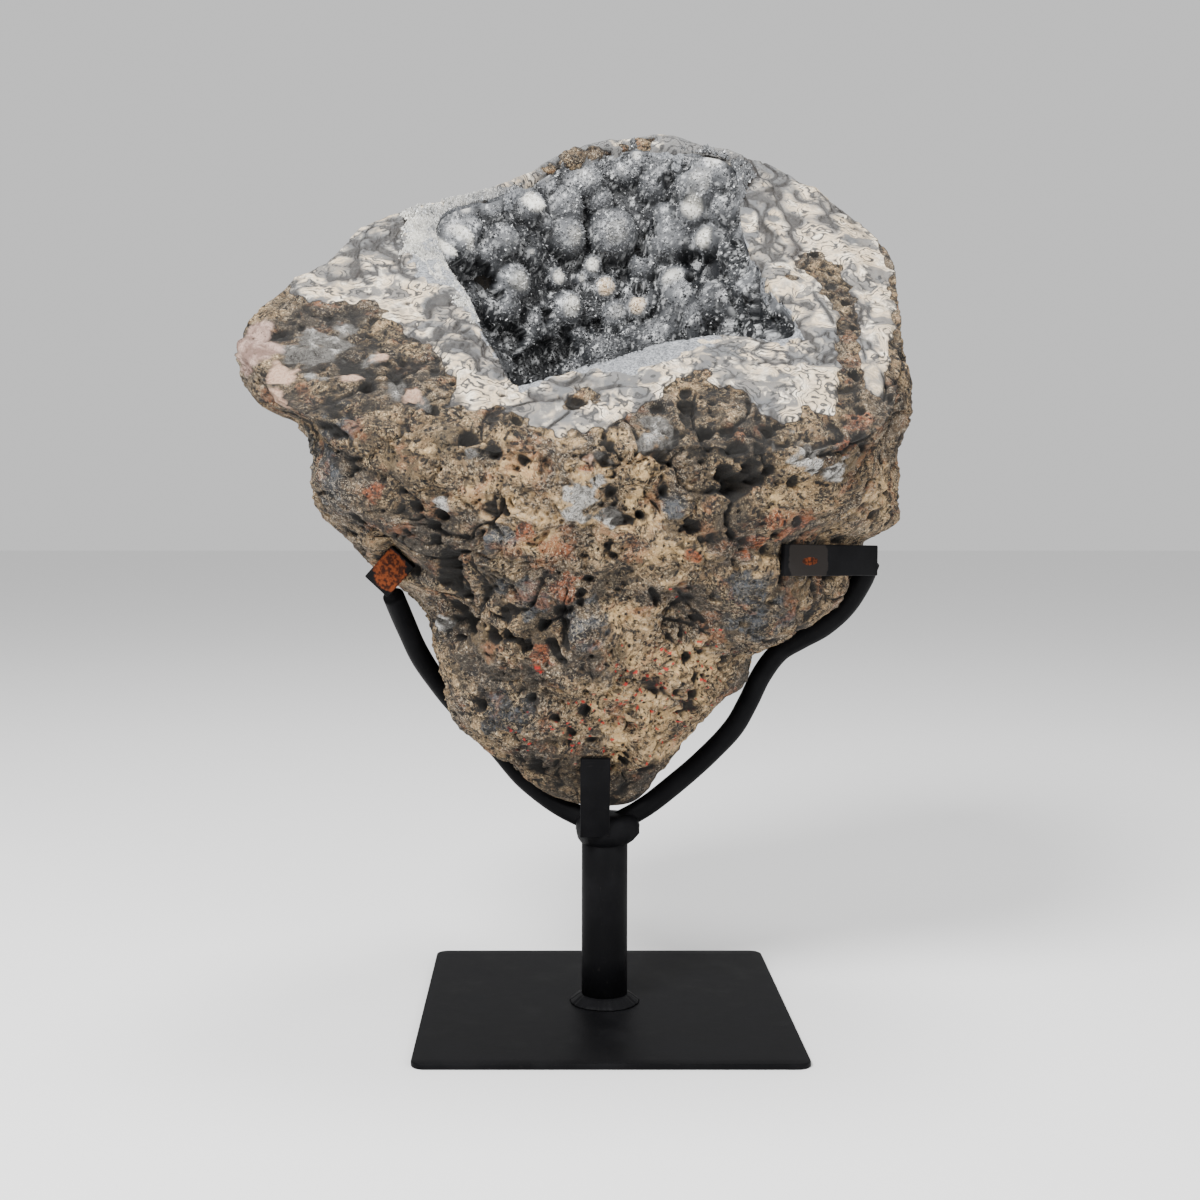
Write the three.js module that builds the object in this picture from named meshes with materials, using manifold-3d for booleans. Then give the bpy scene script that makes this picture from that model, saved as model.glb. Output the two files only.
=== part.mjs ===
// A half geode of banded agate with a crystal hollow, resting in a welded steel stand.
// Millimetres, +Z up, +X to the right of someone who looks at the front, +Y away from them.
// The origin is the middle of the base plate's underside, straight below the post.

import * as THREE from "three";
import { mergeVertices } from "three/addons/utils/BufferGeometryUtils.js";
import Module from "manifold-3d";

const wasm = await Module();
wasm.setup();

// Stand: stock sizes of flat, round and plate steel
const PLATE_SIDE = 200;
const PLATE_THICKNESS = 3;
const PLATE_CORNER = 7;
const POST_DIAMETER = 25.4;
const POST_TOP = 106;
const ROD_DIAMETER = 11.5;
const BAR_WIDTH = 16;
const BAR_THICKNESS = 3;
const GAP = 0.35;
const ROOM_DEPTH = 20;
const FOOT_WELD_WIDTH = 7;
const FOOT_WELD_HEIGHT = 5;
const TOP_WELD_WIDTH = 4;
const TOP_WELD_DEPTH = 15;
const TOP_WELD_RISE = 3;
const BEAD_SIZE = [6, 7, 8];
const BEAD_PLACE = [14, -5, 101];

// Stone: the pole of its tip, the slanted plane that it is cut along, and the hollow's floor
const TIP = new THREE.Vector3(0, 4, 112);
const CUT_HEIGHT = 405;
const CUT_SLOPE = 0.82;
const HOLLOW_MOUTH = new THREE.Vector2(0, 10);
const HOLLOW_FLOOR = new THREE.Vector3(5, 42, 272);
const SECTION_POWER = 2.3;
const FACE_CROWN = 3;
const RIM_DROP = 5;
const FLOOR_RADIUS = 84;
const CRUST_THICKNESS = 3;
const CRUST_EDGE = 0.05;
const CRUST_FADE = 0.08;
const CRUST_ROOT = 2;

// Waviness of the wall and of the lining: how high the waves rise and how far apart they are
const WALL_WAVE = 4.5;
const WALL_WAVE_SIZE = 46;
const WALL_RIPPLE = 2.5;
const WALL_RIPPLE_SIZE = 21;
const CRUST_WAVE = 1.2;
const CRUST_WAVE_SIZE = 17;

// How finely the stone is faceted
const COLUMNS = 52;
const WALL_ROWS = 28;
const WALL_ROW_POWER = 1.15;
const FACE_STEPS = [0.1, 0.35, 0.7, 1];
const HOLLOW_ROWS = 13;
const ROD_STEPS = 18;

// Rim of the cut face, as angle in degrees and distance from the post's axis seen from above
const RIM = [
  [5, 158], [20, 150], [33, 142], [45, 137], [60, 130], [75, 126], [90, 113], [100, 108], [117, 94],
  [133, 95], [146, 106], [155, 124], [165, 140], [176, 152], [183, 170], [193, 195], [203, 190],
  [212, 178], [224, 150], [244, 127], [267, 116], [290, 119], [303, 138], [314, 155], [323, 165],
  [335, 161], [352, 156],
];

// Mouth of the hollow, as angle and distance from HOLLOW_MOUTH
const MOUTH = [
  [6, 80], [26, 87], [40, 106], [50, 118], [62, 111], [75, 106], [88, 97], [101, 91], [122, 80],
  [141, 84], [155, 99], [165, 98], [180, 88], [203, 79], [229, 89], [243, 102], [250, 92], [263, 78],
  [288, 67], [306, 72], [318, 84], [327, 108], [334, 108], [345, 92],
];

// Half widths and depths of the uncut stone, as height and distance from the axis
const RIGHT_SIDE = [
  [112, 0], [114, 14], [120, 22], [129, 28], [142, 39], [156, 50], [169, 62], [182, 74], [198, 80],
  [204, 92], [215, 113], [228, 129], [247, 136], [260, 137], [267, 150], [273, 155], [306, 154],
  [325, 159], [344, 162], [364, 158], [402, 158],
];
const LEFT_SIDE = [
  [112, 0], [114, 16], [119, 31], [129, 45], [149, 69], [162, 84], [200, 95], [228, 105], [241, 124],
  [260, 139], [280, 156], [319, 160], [331, 186], [351, 196], [364, 199], [383, 196],
];
const FRONT_SIDE = [
  [112, 0], [114, 7], [130, 18], [150, 32], [200, 60], [250, 84], [290, 102], [315, 113],
];
const BACK_SIDE = [
  [112, 0], [114, 12], [130, 24], [150, 38], [200, 72], [250, 100], [300, 119], [350, 128], [400, 131],
  [450, 128], [500, 119],
];

// Swells and dips of the stone's wall: x, y, z of the middle, radius, and height (below zero is a dip)
const LUMPS = [
  [-128, -62, 285, 42, 7], [-12, -62, 195, 38, 9], [-52, -58, 212, 30, 6], [74, -66, 224, 40, 6],
  [-66, -30, 150, 24, 5], [-84, -50, 218, 22, -7], [-30, -52, 178, 16, -5], [38, -64, 225, 22, -8],
  [108, -60, 262, 36, -8], [-40, -92, 262, 48, 6], [30, -90, 262, 40, 5], [56, -34, 168, 22, 5],
  [-186, -40, 345, 26, 6], [-120, -76, 330, 30, -5], [152, 6, 330, 30, 6], [140, 40, 240, 46, 7],
  [-40, 118, 330, 60, 10], [70, 112, 400, 55, 9], [-110, 60, 300, 50, 8], [20, 96, 240, 44, 8],
  [-80, 88, 410, 34, -9], [120, 76, 330, 36, -9], [-20, 76, 190, 30, -7], [-146, 24, 350, 34, 8],
];

// Rounded knobs of the crystal lining: angle and depth (0 mouth, 1 floor), radius and height
const KNOBS = [
  [128, 0.16, 13, 6], [103, 0.2, 12, 8], [118, 0.3, 15, 9], [88, 0.34, 20, 13], [106, 0.52, 17, 10],
  [74, 0.18, 18, 10], [80, 0.46, 13, 9], [60, 0.3, 20, 13], [52, 0.46, 20, 12], [44, 0.14, 25, 13],
  [38, 0.34, 16, 9], [92, 0.72, 16, 8], [66, 0.6, 18, 10], [34, 0.56, 20, 11], [140, 0.46, 18, 8],
  [162, 0.3, 22, 9], [185, 0.24, 18, 7], [205, 0.45, 20, 8], [20, 0.3, 18, 8], [0, 0.42, 18, 8],
  [282, 0.14, 22, 6], [300, 0.22, 20, 7], [262, 0.4, 18, 6], [320, 0.4, 20, 7], [232, 0.6, 16, 6],
];

// Routes of the two rods from the post's top, chosen by hand
const LEFT_ROUTE = [
  [-3, 3, 102], [-24, 8, 111], [-43, 15, 124], [-60, 22, 142], [-75, 24, 157], [-88, 17, 173],
  [-101, 4, 194], [-109, -10, 215], [-114, -24, 231],
];
const RIGHT_ROUTE = [
  [3, 2, 101], [23, 4, 112], [41, 5, 126], [58, 6, 141], [72, 7, 156], [80, 8, 170], [87, 7, 185],
  [96, 3, 198], [107, -3, 206], [119, -10, 214], [129, -17, 225], [136, -24, 239], [139, -28, 249],
];

const HASH_A = 73856093;
const HASH_B = 19349663;
const HASH_C = 83492791;
const HASH_MIX = 1274126177;

function smooth(value) {
  const t = Math.min(Math.max(value, 0), 1);
  return t * t * (3 - 2 * t);
}

// Smooth curve through the points of a table, flat beyond its ends
function through(table, at) {
  const last = table.length - 1;
  const x = Math.min(Math.max(at, table[0][0]), table[last][0]);
  let i = 0;
  while (i < last - 1 && x >= table[i + 1][0]) {
    i += 1;
  }
  const before = table[Math.max(i - 1, 0)];
  const start = table[i];
  const end = table[i + 1];
  const after = table[Math.min(i + 2, last)];
  const step = end[0] - start[0];
  const slopeIn = step * (end[1] - before[1]) / (end[0] - before[0]);
  const slopeOut = step * (after[1] - start[1]) / (after[0] - start[0]);
  const s = (x - start[0]) / step;
  const blend = s * s * (3 - 2 * s);
  return start[1] + (end[1] - start[1]) * blend
    + slopeIn * s * (1 - s) * (1 - s) - slopeOut * s * s * (1 - s);
}

// The same for a table of angles, which goes round
function around(table, degrees) {
  const last = table.length - 1;
  const wrapped = [
    ...table.slice(last - 1).map(([angle, value]) => [angle - 360, value]),
    ...table,
    ...table.slice(0, 2).map(([angle, value]) => [angle + 360, value]),
  ];
  const turn = ((degrees % 360) + 360) % 360;
  return through(wrapped, turn);
}

function lattice(i, j, k) {
  let n = Math.imul(i, HASH_A) ^ Math.imul(j, HASH_B) ^ Math.imul(k, HASH_C);
  n = Math.imul(n ^ (n >>> 13), HASH_MIX);
  return ((n ^ (n >>> 16)) & 0xffff) / 0xffff;
}

// Smooth noise between -1 and 1 with features about as large as the given size
function noise(point, size) {
  const [x, y, z] = [point.x / size, point.y / size, point.z / size];
  const [i, j, k] = [Math.floor(x), Math.floor(y), Math.floor(z)];
  const [u, v, w] = [smooth(x - i), smooth(y - j), smooth(z - k)];
  let sum = 0;
  for (const di of [0, 1]) {
    for (const dj of [0, 1]) {
      for (const dk of [0, 1]) {
        const weight = (di ? u : 1 - u) * (dj ? v : 1 - v) * (dk ? w : 1 - w);
        sum += weight * lattice(i + di, j + dj, k + dk);
      }
    }
  }
  return 2 * sum - 1;
}

function cutHeight(y) {
  return CUT_HEIGHT + CUT_SLOPE * y;
}

// Distance from the axis to the uncut stone's wall: a squarish oval at every height
function wallRadius(degrees, z) {
  const c = Math.cos(degrees * Math.PI / 180);
  const s = Math.sin(degrees * Math.PI / 180);
  const across = Math.max(through(c > 0 ? RIGHT_SIDE : LEFT_SIDE, z), 0.01);
  const along = Math.max(through(s > 0 ? BACK_SIDE : FRONT_SIDE, z), 0.01);
  const sum = (Math.abs(c) / across) ** SECTION_POWER + (Math.abs(s) / along) ** SECTION_POWER;
  return sum ** (-1 / SECTION_POWER);
}

function rimPoint(degrees) {
  const radius = around(RIM, degrees);
  const x = radius * Math.cos(degrees * Math.PI / 180);
  const y = radius * Math.sin(degrees * Math.PI / 180);
  return new THREE.Vector3(x, y, cutHeight(y));
}

// The hollow's outline on the cut plane, which grows rounder as it goes down
function mouthPoint(degrees, depth = 0) {
  const radius = THREE.MathUtils.lerp(around(MOUTH, degrees), FLOOR_RADIUS, smooth(depth * 1.6));
  const x = HOLLOW_MOUTH.x + radius * Math.cos(degrees * Math.PI / 180);
  const y = HOLLOW_MOUTH.y + radius * Math.sin(degrees * Math.PI / 180);
  return new THREE.Vector3(x, y, cutHeight(y));
}

// A point of the stone's rough wall: t is 0 at the tip and 1 at the rim of the cut
function wallPoint(degrees, t) {
  const rim = facePoint(degrees, 0);
  const z = TIP.z + (rim.z - TIP.z) * t;
  const rimRadius = Math.hypot(rim.x, rim.y);
  const fit = 1 + (rimRadius / wallRadius(degrees, rim.z) - 1) * smooth((t - 0.55) / 0.45);
  const radius = wallRadius(degrees, z) * fit;
  const out = new THREE.Vector3(Math.cos(degrees * Math.PI / 180), Math.sin(degrees * Math.PI / 180), 0);
  const point = out.clone().multiplyScalar(radius);
  point.y += TIP.y * (1 - smooth(t * 3));
  point.z = z;
  const fade = smooth(t * 6) * smooth((1 - t) * 9);
  const waves = WALL_WAVE * noise(point, WALL_WAVE_SIZE) + WALL_RIPPLE * noise(point, WALL_RIPPLE_SIZE);
  let rise = fade * waves;
  for (const [x, y, lumpZ, size, height] of LUMPS) {
    const away = Math.hypot(point.x - x, point.y - y, point.z - lumpZ) / size;
    rise += away < 1 ? fade * height * (1 - away * away) ** 2 : 0;
  }
  out.z = -0.35 * (1 - t);
  return point.addScaledVector(out, rise);
}

// A point of the cut face: w is 0 at the rim, whose front edge is worn round, and 1 at the hollow's mouth
function facePoint(degrees, w) {
  const point = rimPoint(degrees).lerp(mouthPoint(degrees), w);
  const front = smooth(-1.5 * Math.sin(degrees * Math.PI / 180) - 0.2);
  const worn = front * RIM_DROP * (1 - smooth(w / 0.3)) ** 2;
  point.z = cutHeight(point.y) + FACE_CROWN * Math.sin(Math.PI * w) - worn;
  return point;
}

// A point of the hollow's wall: d is 0 at the mouth and 1 at the floor
function hollowPoint(degrees, d) {
  const mouth = mouthPoint(degrees, d);
  const across = Math.cos(d * Math.PI / 2) ** 0.65;
  const down = Math.sin(d * Math.PI / 2);
  const x = HOLLOW_MOUTH.x * (1 - down) + HOLLOW_FLOOR.x * down + (mouth.x - HOLLOW_MOUTH.x) * across;
  const y = HOLLOW_MOUTH.y * (1 - down) + HOLLOW_FLOOR.y * down + (mouth.y - HOLLOW_MOUTH.y) * across;
  const middle = cutHeight(HOLLOW_MOUTH.y);
  const z = middle + (HOLLOW_FLOOR.z - middle) * down + (mouth.z - middle) * across;
  return new THREE.Vector3(x, y, z);
}

// Direction out of the hollow's wall into the open space, found from two short steps along the wall
function hollowInward(degrees, d) {
  const here = hollowPoint(degrees, d);
  const beside = hollowPoint(degrees + 2, d).sub(here);
  const below = hollowPoint(degrees, Math.min(d + 0.02, 0.999)).sub(here);
  return beside.cross(below).normalize();
}

// Thickness of the crystal lining: its base and the knobs that swell from it
function crustDepth(degrees, d) {
  const point = hollowPoint(degrees, d);
  let depth = CRUST_THICKNESS + CRUST_WAVE * noise(point, CRUST_WAVE_SIZE);
  for (const [angle, knobDepth, size, height] of KNOBS) {
    const away = point.distanceTo(hollowPoint(angle, knobDepth)) / size;
    depth = Math.max(depth, away < 1 ? CRUST_THICKNESS + height * Math.sqrt(1 - away * away) : 0);
  }
  return depth * smooth((d - CRUST_EDGE) / CRUST_FADE);
}

// Closed skin over rings of points with a single point at each end
function skin(firstPole, rings, lastPole) {
  const points = [firstPole, ...rings.flat(), lastPole];
  const count = rings[0].length;
  const index = [];
  const at = (ring, column) => 1 + ring * count + (column % count);
  for (let column = 0; column < count; column += 1) {
    index.push(0, at(0, column + 1), at(0, column));
    for (let ring = 0; ring + 1 < rings.length; ring += 1) {
      const [a, b] = [at(ring, column), at(ring, column + 1)];
      const [c, d] = [at(ring + 1, column), at(ring + 1, column + 1)];
      index.push(a, b, d, a, d, c);
    }
    index.push(points.length - 1, at(rings.length - 1, column), at(rings.length - 1, column + 1));
  }
  const geometry = new THREE.BufferGeometry().setFromPoints(points);
  geometry.setIndex(index);
  return geometry;
}

function ring(pointAt) {
  return Array.from({ length: COLUMNS }, (_, column) => pointAt(360 * column / COLUMNS));
}

function asSolid(geometry) {
  const bare = geometry.clone();
  bare.deleteAttribute("normal");
  bare.deleteAttribute("uv");
  const merged = mergeVertices(bare, 1e-4);
  const vertProperties = new Float32Array(merged.attributes.position.array);
  const triVerts = new Uint32Array(merged.index.array);
  return new wasm.Manifold(new wasm.Mesh({ numProp: 3, vertProperties, triVerts }));
}

function asGeometry(solid) {
  const mesh = solid.getMesh();
  const geometry = new THREE.BufferGeometry();
  geometry.setAttribute("position", new THREE.BufferAttribute(new Float32Array(mesh.vertProperties), 3));
  geometry.setIndex(Array.from(mesh.triVerts));
  return geometry;
}

// The stone's whole skin. An inset draws in the hollow's wall, to cut the lining clear of the stone.
function stoneGeometry(inset = 0) {
  const rings = [];
  const inward = (point, degrees, d) => point.addScaledVector(hollowInward(degrees, d), inset);
  for (let row = 1; row <= WALL_ROWS; row += 1) {
    const t = (row / WALL_ROWS) ** WALL_ROW_POWER;
    rings.push(ring((degrees) => wallPoint(degrees, t)));
  }
  for (const w of FACE_STEPS) {
    rings.push(ring((degrees) => inward(facePoint(degrees, w), degrees, 0)));
  }
  for (let row = 1; row < HOLLOW_ROWS; row += 1) {
    const d = row / HOLLOW_ROWS;
    rings.push(ring((degrees) => inward(hollowPoint(degrees, d), degrees, d)));
  }
  return skin(TIP, rings, HOLLOW_FLOOR.clone().setZ(HOLLOW_FLOOR.z + inset));
}

// The lining starts inside the stone, so that cutting it with the inset stone gives it its back
function crustGeometry() {
  const depths = [CRUST_EDGE];
  for (let row = 1; row < HOLLOW_ROWS; row += 1) {
    depths.push(row / HOLLOW_ROWS);
  }
  const shifted = (d, extra) => ring((degrees) => hollowPoint(degrees, d)
    .addScaledVector(hollowInward(degrees, d), extra(degrees, d)));
  const back = depths.map((d) => shifted(d, () => -CRUST_ROOT)).reverse();
  const front = depths.slice(1).map((d) => shifted(d, crustDepth));
  const backPole = HOLLOW_FLOOR.clone().setZ(HOLLOW_FLOOR.z - CRUST_ROOT);
  const frontPole = HOLLOW_FLOOR.clone().setZ(HOLLOW_FLOOR.z + 2 * CRUST_THICKNESS);
  return skin(backPole, [...back, ...front], frontPole);
}

function plateOutline() {
  const half = PLATE_SIDE / 2;
  const shape = new THREE.Shape();
  const corners = [[1, -1], [1, 1], [-1, 1], [-1, -1]];
  corners.forEach(([x, y], turn) => {
    const start = -Math.PI / 2 + turn * Math.PI / 2;
    shape.absarc(x * (half - PLATE_CORNER), y * (half - PLATE_CORNER), PLATE_CORNER,
      start, start + Math.PI / 2, false);
  });
  return shape;
}

function plateGeometry() {
  return new THREE.ExtrudeGeometry(plateOutline(), {
    depth: PLATE_THICKNESS, bevelEnabled: false, curveSegments: 4,
  });
}

function latheUp(profile, segments) {
  return new THREE.LatheGeometry(profile.map(([r, z]) => new THREE.Vector2(r, z)), segments)
    .rotateX(Math.PI / 2);
}

function footWeldGeometry() {
  const inner = POST_DIAMETER / 2 + GAP;
  const low = PLATE_THICKNESS + GAP;
  const profile = [
    [inner, low], [inner + FOOT_WELD_WIDTH, low], [inner + 0.6 * FOOT_WELD_WIDTH, low + 1.6],
    [inner + 0.3 * FOOT_WELD_WIDTH, low + 3.2], [inner, low + FOOT_WELD_HEIGHT], [inner, low],
  ];
  return latheUp(profile, 22);
}

function discOutline(radius, sides) {
  const shape = new THREE.Shape();
  for (let side = 0; side < sides; side += 1) {
    const angle = 2 * Math.PI * side / sides;
    const [x, y] = [radius * Math.cos(angle), radius * Math.sin(angle)];
    if (side === 0) {
      shape.moveTo(x, y);
    } else {
      shape.lineTo(x, y);
    }
  }
  shape.closePath();
  return shape;
}

function rodGeometry(route, radius, steps) {
  const path = new THREE.CatmullRomCurve3(route.map((p) => new THREE.Vector3(...p)));
  return new THREE.ExtrudeGeometry(discOutline(radius, 9), { steps, extrudePath: path });
}

// A flat bar from one end to the other: its broad side faces the way given. Growth widens it all
// round, and room thickens it on its broad side only.
function barSolid({ start, end, facing }, growth = 0, room = 0) {
  const along = end.clone().sub(start).normalize();
  const outward = facing.clone().addScaledVector(along, -facing.dot(along)).normalize();
  const across = outward.clone().cross(along);
  const middle = start.clone().add(end).multiplyScalar(0.5).addScaledVector(outward, room / 2);
  const place = new THREE.Matrix4().makeBasis(along, across, outward).setPosition(middle);
  const length = start.distanceTo(end) + 2 * growth;
  const box = new THREE.BoxGeometry(length, BAR_WIDTH + 2 * growth, BAR_THICKNESS + 2 * growth + room);
  return asSolid(box.applyMatrix4(place));
}

// A steel bar pressed against the stone: its ends' middles and the way its broad side faces
const LEFT_TAB = {
  start: new THREE.Vector3(-121, -41, 237), end: new THREE.Vector3(-106, -50, 253),
  facing: new THREE.Vector3(-0.24, -0.94, -0.26),
};
const RIGHT_TAB = {
  start: new THREE.Vector3(86, -77, 252), end: new THREE.Vector3(142, -31, 250),
  facing: new THREE.Vector3(0.64, -0.76, 0.02),
};
const PRONG = {
  start: new THREE.Vector3(-6, -15.5, 99), end: new THREE.Vector3(-6, -28, 144),
  facing: new THREE.Vector3(0, -0.96, -0.27),
};

const BARS = [LEFT_TAB, RIGHT_TAB, PRONG];

function post(growth = 0) {
  const bottom = PLATE_THICKNESS + GAP;
  const top = POST_TOP + growth;
  const radius = POST_DIAMETER / 2 + growth;
  return asSolid(new THREE.CylinderGeometry(radius, radius, top - bottom, 28)
    .rotateX(Math.PI / 2).translate(0, 0, (top + bottom) / 2));
}

function rod(route, growth = 0) {
  return asSolid(rodGeometry(route, ROD_DIAMETER / 2 + growth, ROD_STEPS));
}

// Weld round the post's top: a wavy collar with one bead that swells on the right
function topWeld(growth = 0) {
  const neck = POST_DIAMETER / 2 - 1;
  const waist = POST_DIAMETER / 2 + growth;
  const low = POST_TOP - TOP_WELD_DEPTH;
  const collar = asSolid(latheUp([
    [neck, low - growth], [waist + 1.5, low + 2], [waist + TOP_WELD_WIDTH, POST_TOP - 6],
    [waist + 3, POST_TOP], [neck, POST_TOP + TOP_WELD_RISE + growth], [neck, low - growth],
  ], 14));
  const bead = asSolid(new THREE.IcosahedronGeometry(1, 1)
    .scale(...BEAD_SIZE.map((size) => size + growth)).translate(...BEAD_PLACE));
  return collar.add(bead);
}

function material(color, roughness, metalness) {
  return new THREE.MeshStandardMaterial({ color, roughness, metalness });
}

const group = new THREE.Group();

function put(name, solid, itsMaterial) {
  const geometry = solid instanceof THREE.BufferGeometry ? solid : asGeometry(solid);
  const mesh = new THREE.Mesh(geometry, itsMaterial);
  mesh.name = name;
  group.add(mesh);
}

function cutBy(solid, cutters) {
  return cutters.reduce((rest, cutter) => rest.subtract(cutter), solid);
}

// The welded pieces meet with a hair's gap, so each is cut clear of those that pass through it
const widePost = post(GAP);
const wideLeft = rod(LEFT_ROUTE, GAP);
const wideRight = rod(RIGHT_ROUTE, GAP);
const wideBars = BARS.map((bar) => barSolid(bar, GAP));
const blackSteel = () => material(0x1c1c1e, 0.55, 0.2);
put("base_plate", plateGeometry(), blackSteel());
put("post", post(), blackSteel());
put("foot_weld", footWeldGeometry(), blackSteel());
put("left_arm", cutBy(rod(LEFT_ROUTE), [widePost, ...wideBars]), blackSteel());
put("right_arm", cutBy(rod(RIGHT_ROUTE), [widePost, ...wideBars]), blackSteel());
put("left_tab", barSolid(LEFT_TAB), blackSteel());
put("right_tab", barSolid(RIGHT_TAB), blackSteel());
put("front_prong", cutBy(barSolid(PRONG), [widePost]), blackSteel());
put("top_weld", cutBy(topWeld(), [widePost, wideLeft, wideRight, ...wideBars]), blackSteel());

const stone = cutBy(asSolid(stoneGeometry()), [
  post(2 * GAP), rod(LEFT_ROUTE, 2 * GAP), rod(RIGHT_ROUTE, 2 * GAP), topWeld(2 * GAP),
  ...BARS.map((bar) => barSolid(bar, 2 * GAP, ROOM_DEPTH)),
]);
put("geode", stone, material(0x8a7660, 0.85, 0));
const lining = cutBy(asSolid(crustGeometry()), [asSolid(stoneGeometry(2 * GAP))]);
put("druzy_crust", lining, material(0x8f949c, 0.35, 0));

export default group;
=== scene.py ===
import math

import bpy
import numpy as np
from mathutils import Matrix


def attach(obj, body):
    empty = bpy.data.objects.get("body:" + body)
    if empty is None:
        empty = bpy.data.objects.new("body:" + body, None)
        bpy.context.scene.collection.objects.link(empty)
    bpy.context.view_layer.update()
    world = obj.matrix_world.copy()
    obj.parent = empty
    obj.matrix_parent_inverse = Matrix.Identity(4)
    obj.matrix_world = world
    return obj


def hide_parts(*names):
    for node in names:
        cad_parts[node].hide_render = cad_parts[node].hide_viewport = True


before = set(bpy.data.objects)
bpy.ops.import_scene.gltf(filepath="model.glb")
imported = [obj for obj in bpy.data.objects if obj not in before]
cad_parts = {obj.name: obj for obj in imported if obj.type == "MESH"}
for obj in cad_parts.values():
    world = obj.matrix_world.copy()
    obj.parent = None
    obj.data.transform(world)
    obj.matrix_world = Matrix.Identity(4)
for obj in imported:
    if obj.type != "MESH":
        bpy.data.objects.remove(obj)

bl_info = {
    "name": "Agate geode on stand",
    "version": (1, 0, 0),
    "blender": (4, 5, 0),
    "location": "View3D > Sidebar > Geode",
    "description": "Dresses a half geode of banded agate and its black steel stand",
    "category": "Object",
}

MM = 0.001
PHOTO_SIZE = 1200
FOCAL_PIXELS = 1587.8
PHOTO_CENTRE = (549.5, 600.0)
CAMERA_PLACE = np.array([-30.6, -870.4, 281.9])
CAMERA_PITCH = math.radians(3.6)

TIP = np.array([0.0, 4.0, 112.0])
CUT_HEIGHT = 405.0
CUT_SLOPE = 0.82
HOLLOW_MOUTH = np.array([0.0, 10.0])
HOLLOW_FLOOR = np.array([5.0, 42.0, 272.0])
SECTION_POWER = 2.3
FACE_CROWN = 3.0
RIM_DROP = 5.0
FLOOR_RADIUS = 84.0
POST_RADIUS = 12.7
POST_TOP = 106.0
ROD_RADIUS = 5.75
BAR_WIDTH = 16.0
BAR_THICKNESS = 3.0
PLATE_HALF = 100.0
PLATE_THICKNESS = 3.0
PLATE_CORNER = 7.0
CLEARANCE = 0.7

# Rim of the cut face and mouth of the hollow: angle and distance from the middle, seen from above
RIM = (
    (5, 158), (20, 150), (33, 142), (45, 137), (60, 130), (75, 126), (90, 113), (100, 108), (117, 94),
    (133, 95), (146, 106), (155, 124), (165, 140), (176, 152), (183, 170), (193, 195), (203, 190),
    (212, 178), (224, 150), (244, 127), (267, 116), (290, 119), (303, 138), (314, 155), (323, 165),
    (335, 161), (352, 156),
)
MOUTH = (
    (6, 80), (26, 87), (40, 106), (50, 118), (62, 111), (75, 106), (88, 97), (101, 91), (122, 80),
    (141, 84), (155, 99), (165, 98), (180, 88), (203, 79), (229, 89), (243, 102), (250, 92), (263, 78),
    (288, 67), (306, 72), (318, 84), (327, 108), (334, 108), (345, 92),
)
# How far the stone reaches to each side of the post's axis: height and half width
RIGHT_SIDE = (
    (112, 0), (114, 14), (120, 22), (129, 28), (142, 39), (156, 50), (169, 62), (182, 74), (198, 80),
    (204, 92), (215, 113), (228, 129), (247, 136), (260, 137), (267, 150), (273, 155), (306, 154),
    (325, 159), (344, 162), (364, 158), (402, 158),
)
LEFT_SIDE = (
    (112, 0), (114, 16), (119, 31), (129, 45), (149, 69), (162, 84), (200, 95), (228, 105), (241, 124),
    (260, 139), (280, 156), (319, 160), (331, 186), (351, 196), (364, 199), (383, 196),
)
FRONT_SIDE = (
    (112, 0), (114, 7), (130, 18), (150, 32), (200, 60), (250, 84), (290, 102), (315, 113),
)
BACK_SIDE = (
    (112, 0), (114, 12), (130, 24), (150, 38), (200, 72), (250, 100), (300, 119), (350, 128), (400, 131),
    (450, 128), (500, 119),
)
# Broad swellings and hollows of the stone: middle, radius and height
LUMPS = (
    (-128, -62, 285, 42, 7), (-12, -62, 195, 38, 9), (-52, -58, 212, 30, 6), (74, -66, 224, 40, 6),
    (-66, -30, 150, 24, 5), (-84, -50, 218, 22, -7), (-30, -52, 178, 16, -5), (38, -64, 225, 22, -8),
    (108, -60, 262, 36, -8), (-40, -92, 262, 48, 6), (30, -90, 262, 40, 5), (56, -34, 168, 22, 5),
    (-186, -40, 345, 26, 6), (-120, -76, 330, 30, -5), (152, 6, 330, 30, 6), (140, 40, 240, 46, 7),
    (-40, 118, 330, 60, 10), (70, 112, 400, 55, 9), (-110, 60, 300, 50, 8), (20, 96, 240, 44, 8),
    (-80, 88, 410, 34, -9), (120, 76, 330, 36, -9), (-20, 76, 190, 30, -7), (-146, 24, 350, 34, 8),
)

# Routes of the rods and places of the bars, as in the stand's construction
LEFT_ROUTE = (
    (-3, 3, 102), (-24, 8, 111), (-43, 15, 124), (-60, 22, 142), (-75, 24, 157), (-88, 17, 173),
    (-101, 4, 194), (-109, -10, 215), (-114, -24, 231),
)
RIGHT_ROUTE = (
    (3, 2, 101), (23, 4, 112), (41, 5, 126), (58, 6, 141), (72, 7, 156), (80, 8, 170), (87, 7, 185),
    (96, 3, 198), (107, -3, 206), (119, -10, 214), (129, -17, 225), (136, -24, 239), (139, -28, 249),
)
LEFT_TAB = ((-121, -41, 237), (-106, -50, 253), (-0.24, -0.94, -0.26))
RIGHT_TAB = ((86, -77, 252), (142, -31, 250), (0.64, -0.76, 0.02))
PRONG = ((-6, -15.5, 99), (-6, -28, 144), (0, -0.96, -0.27))
BARS = (LEFT_TAB, RIGHT_TAB, PRONG)

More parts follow.
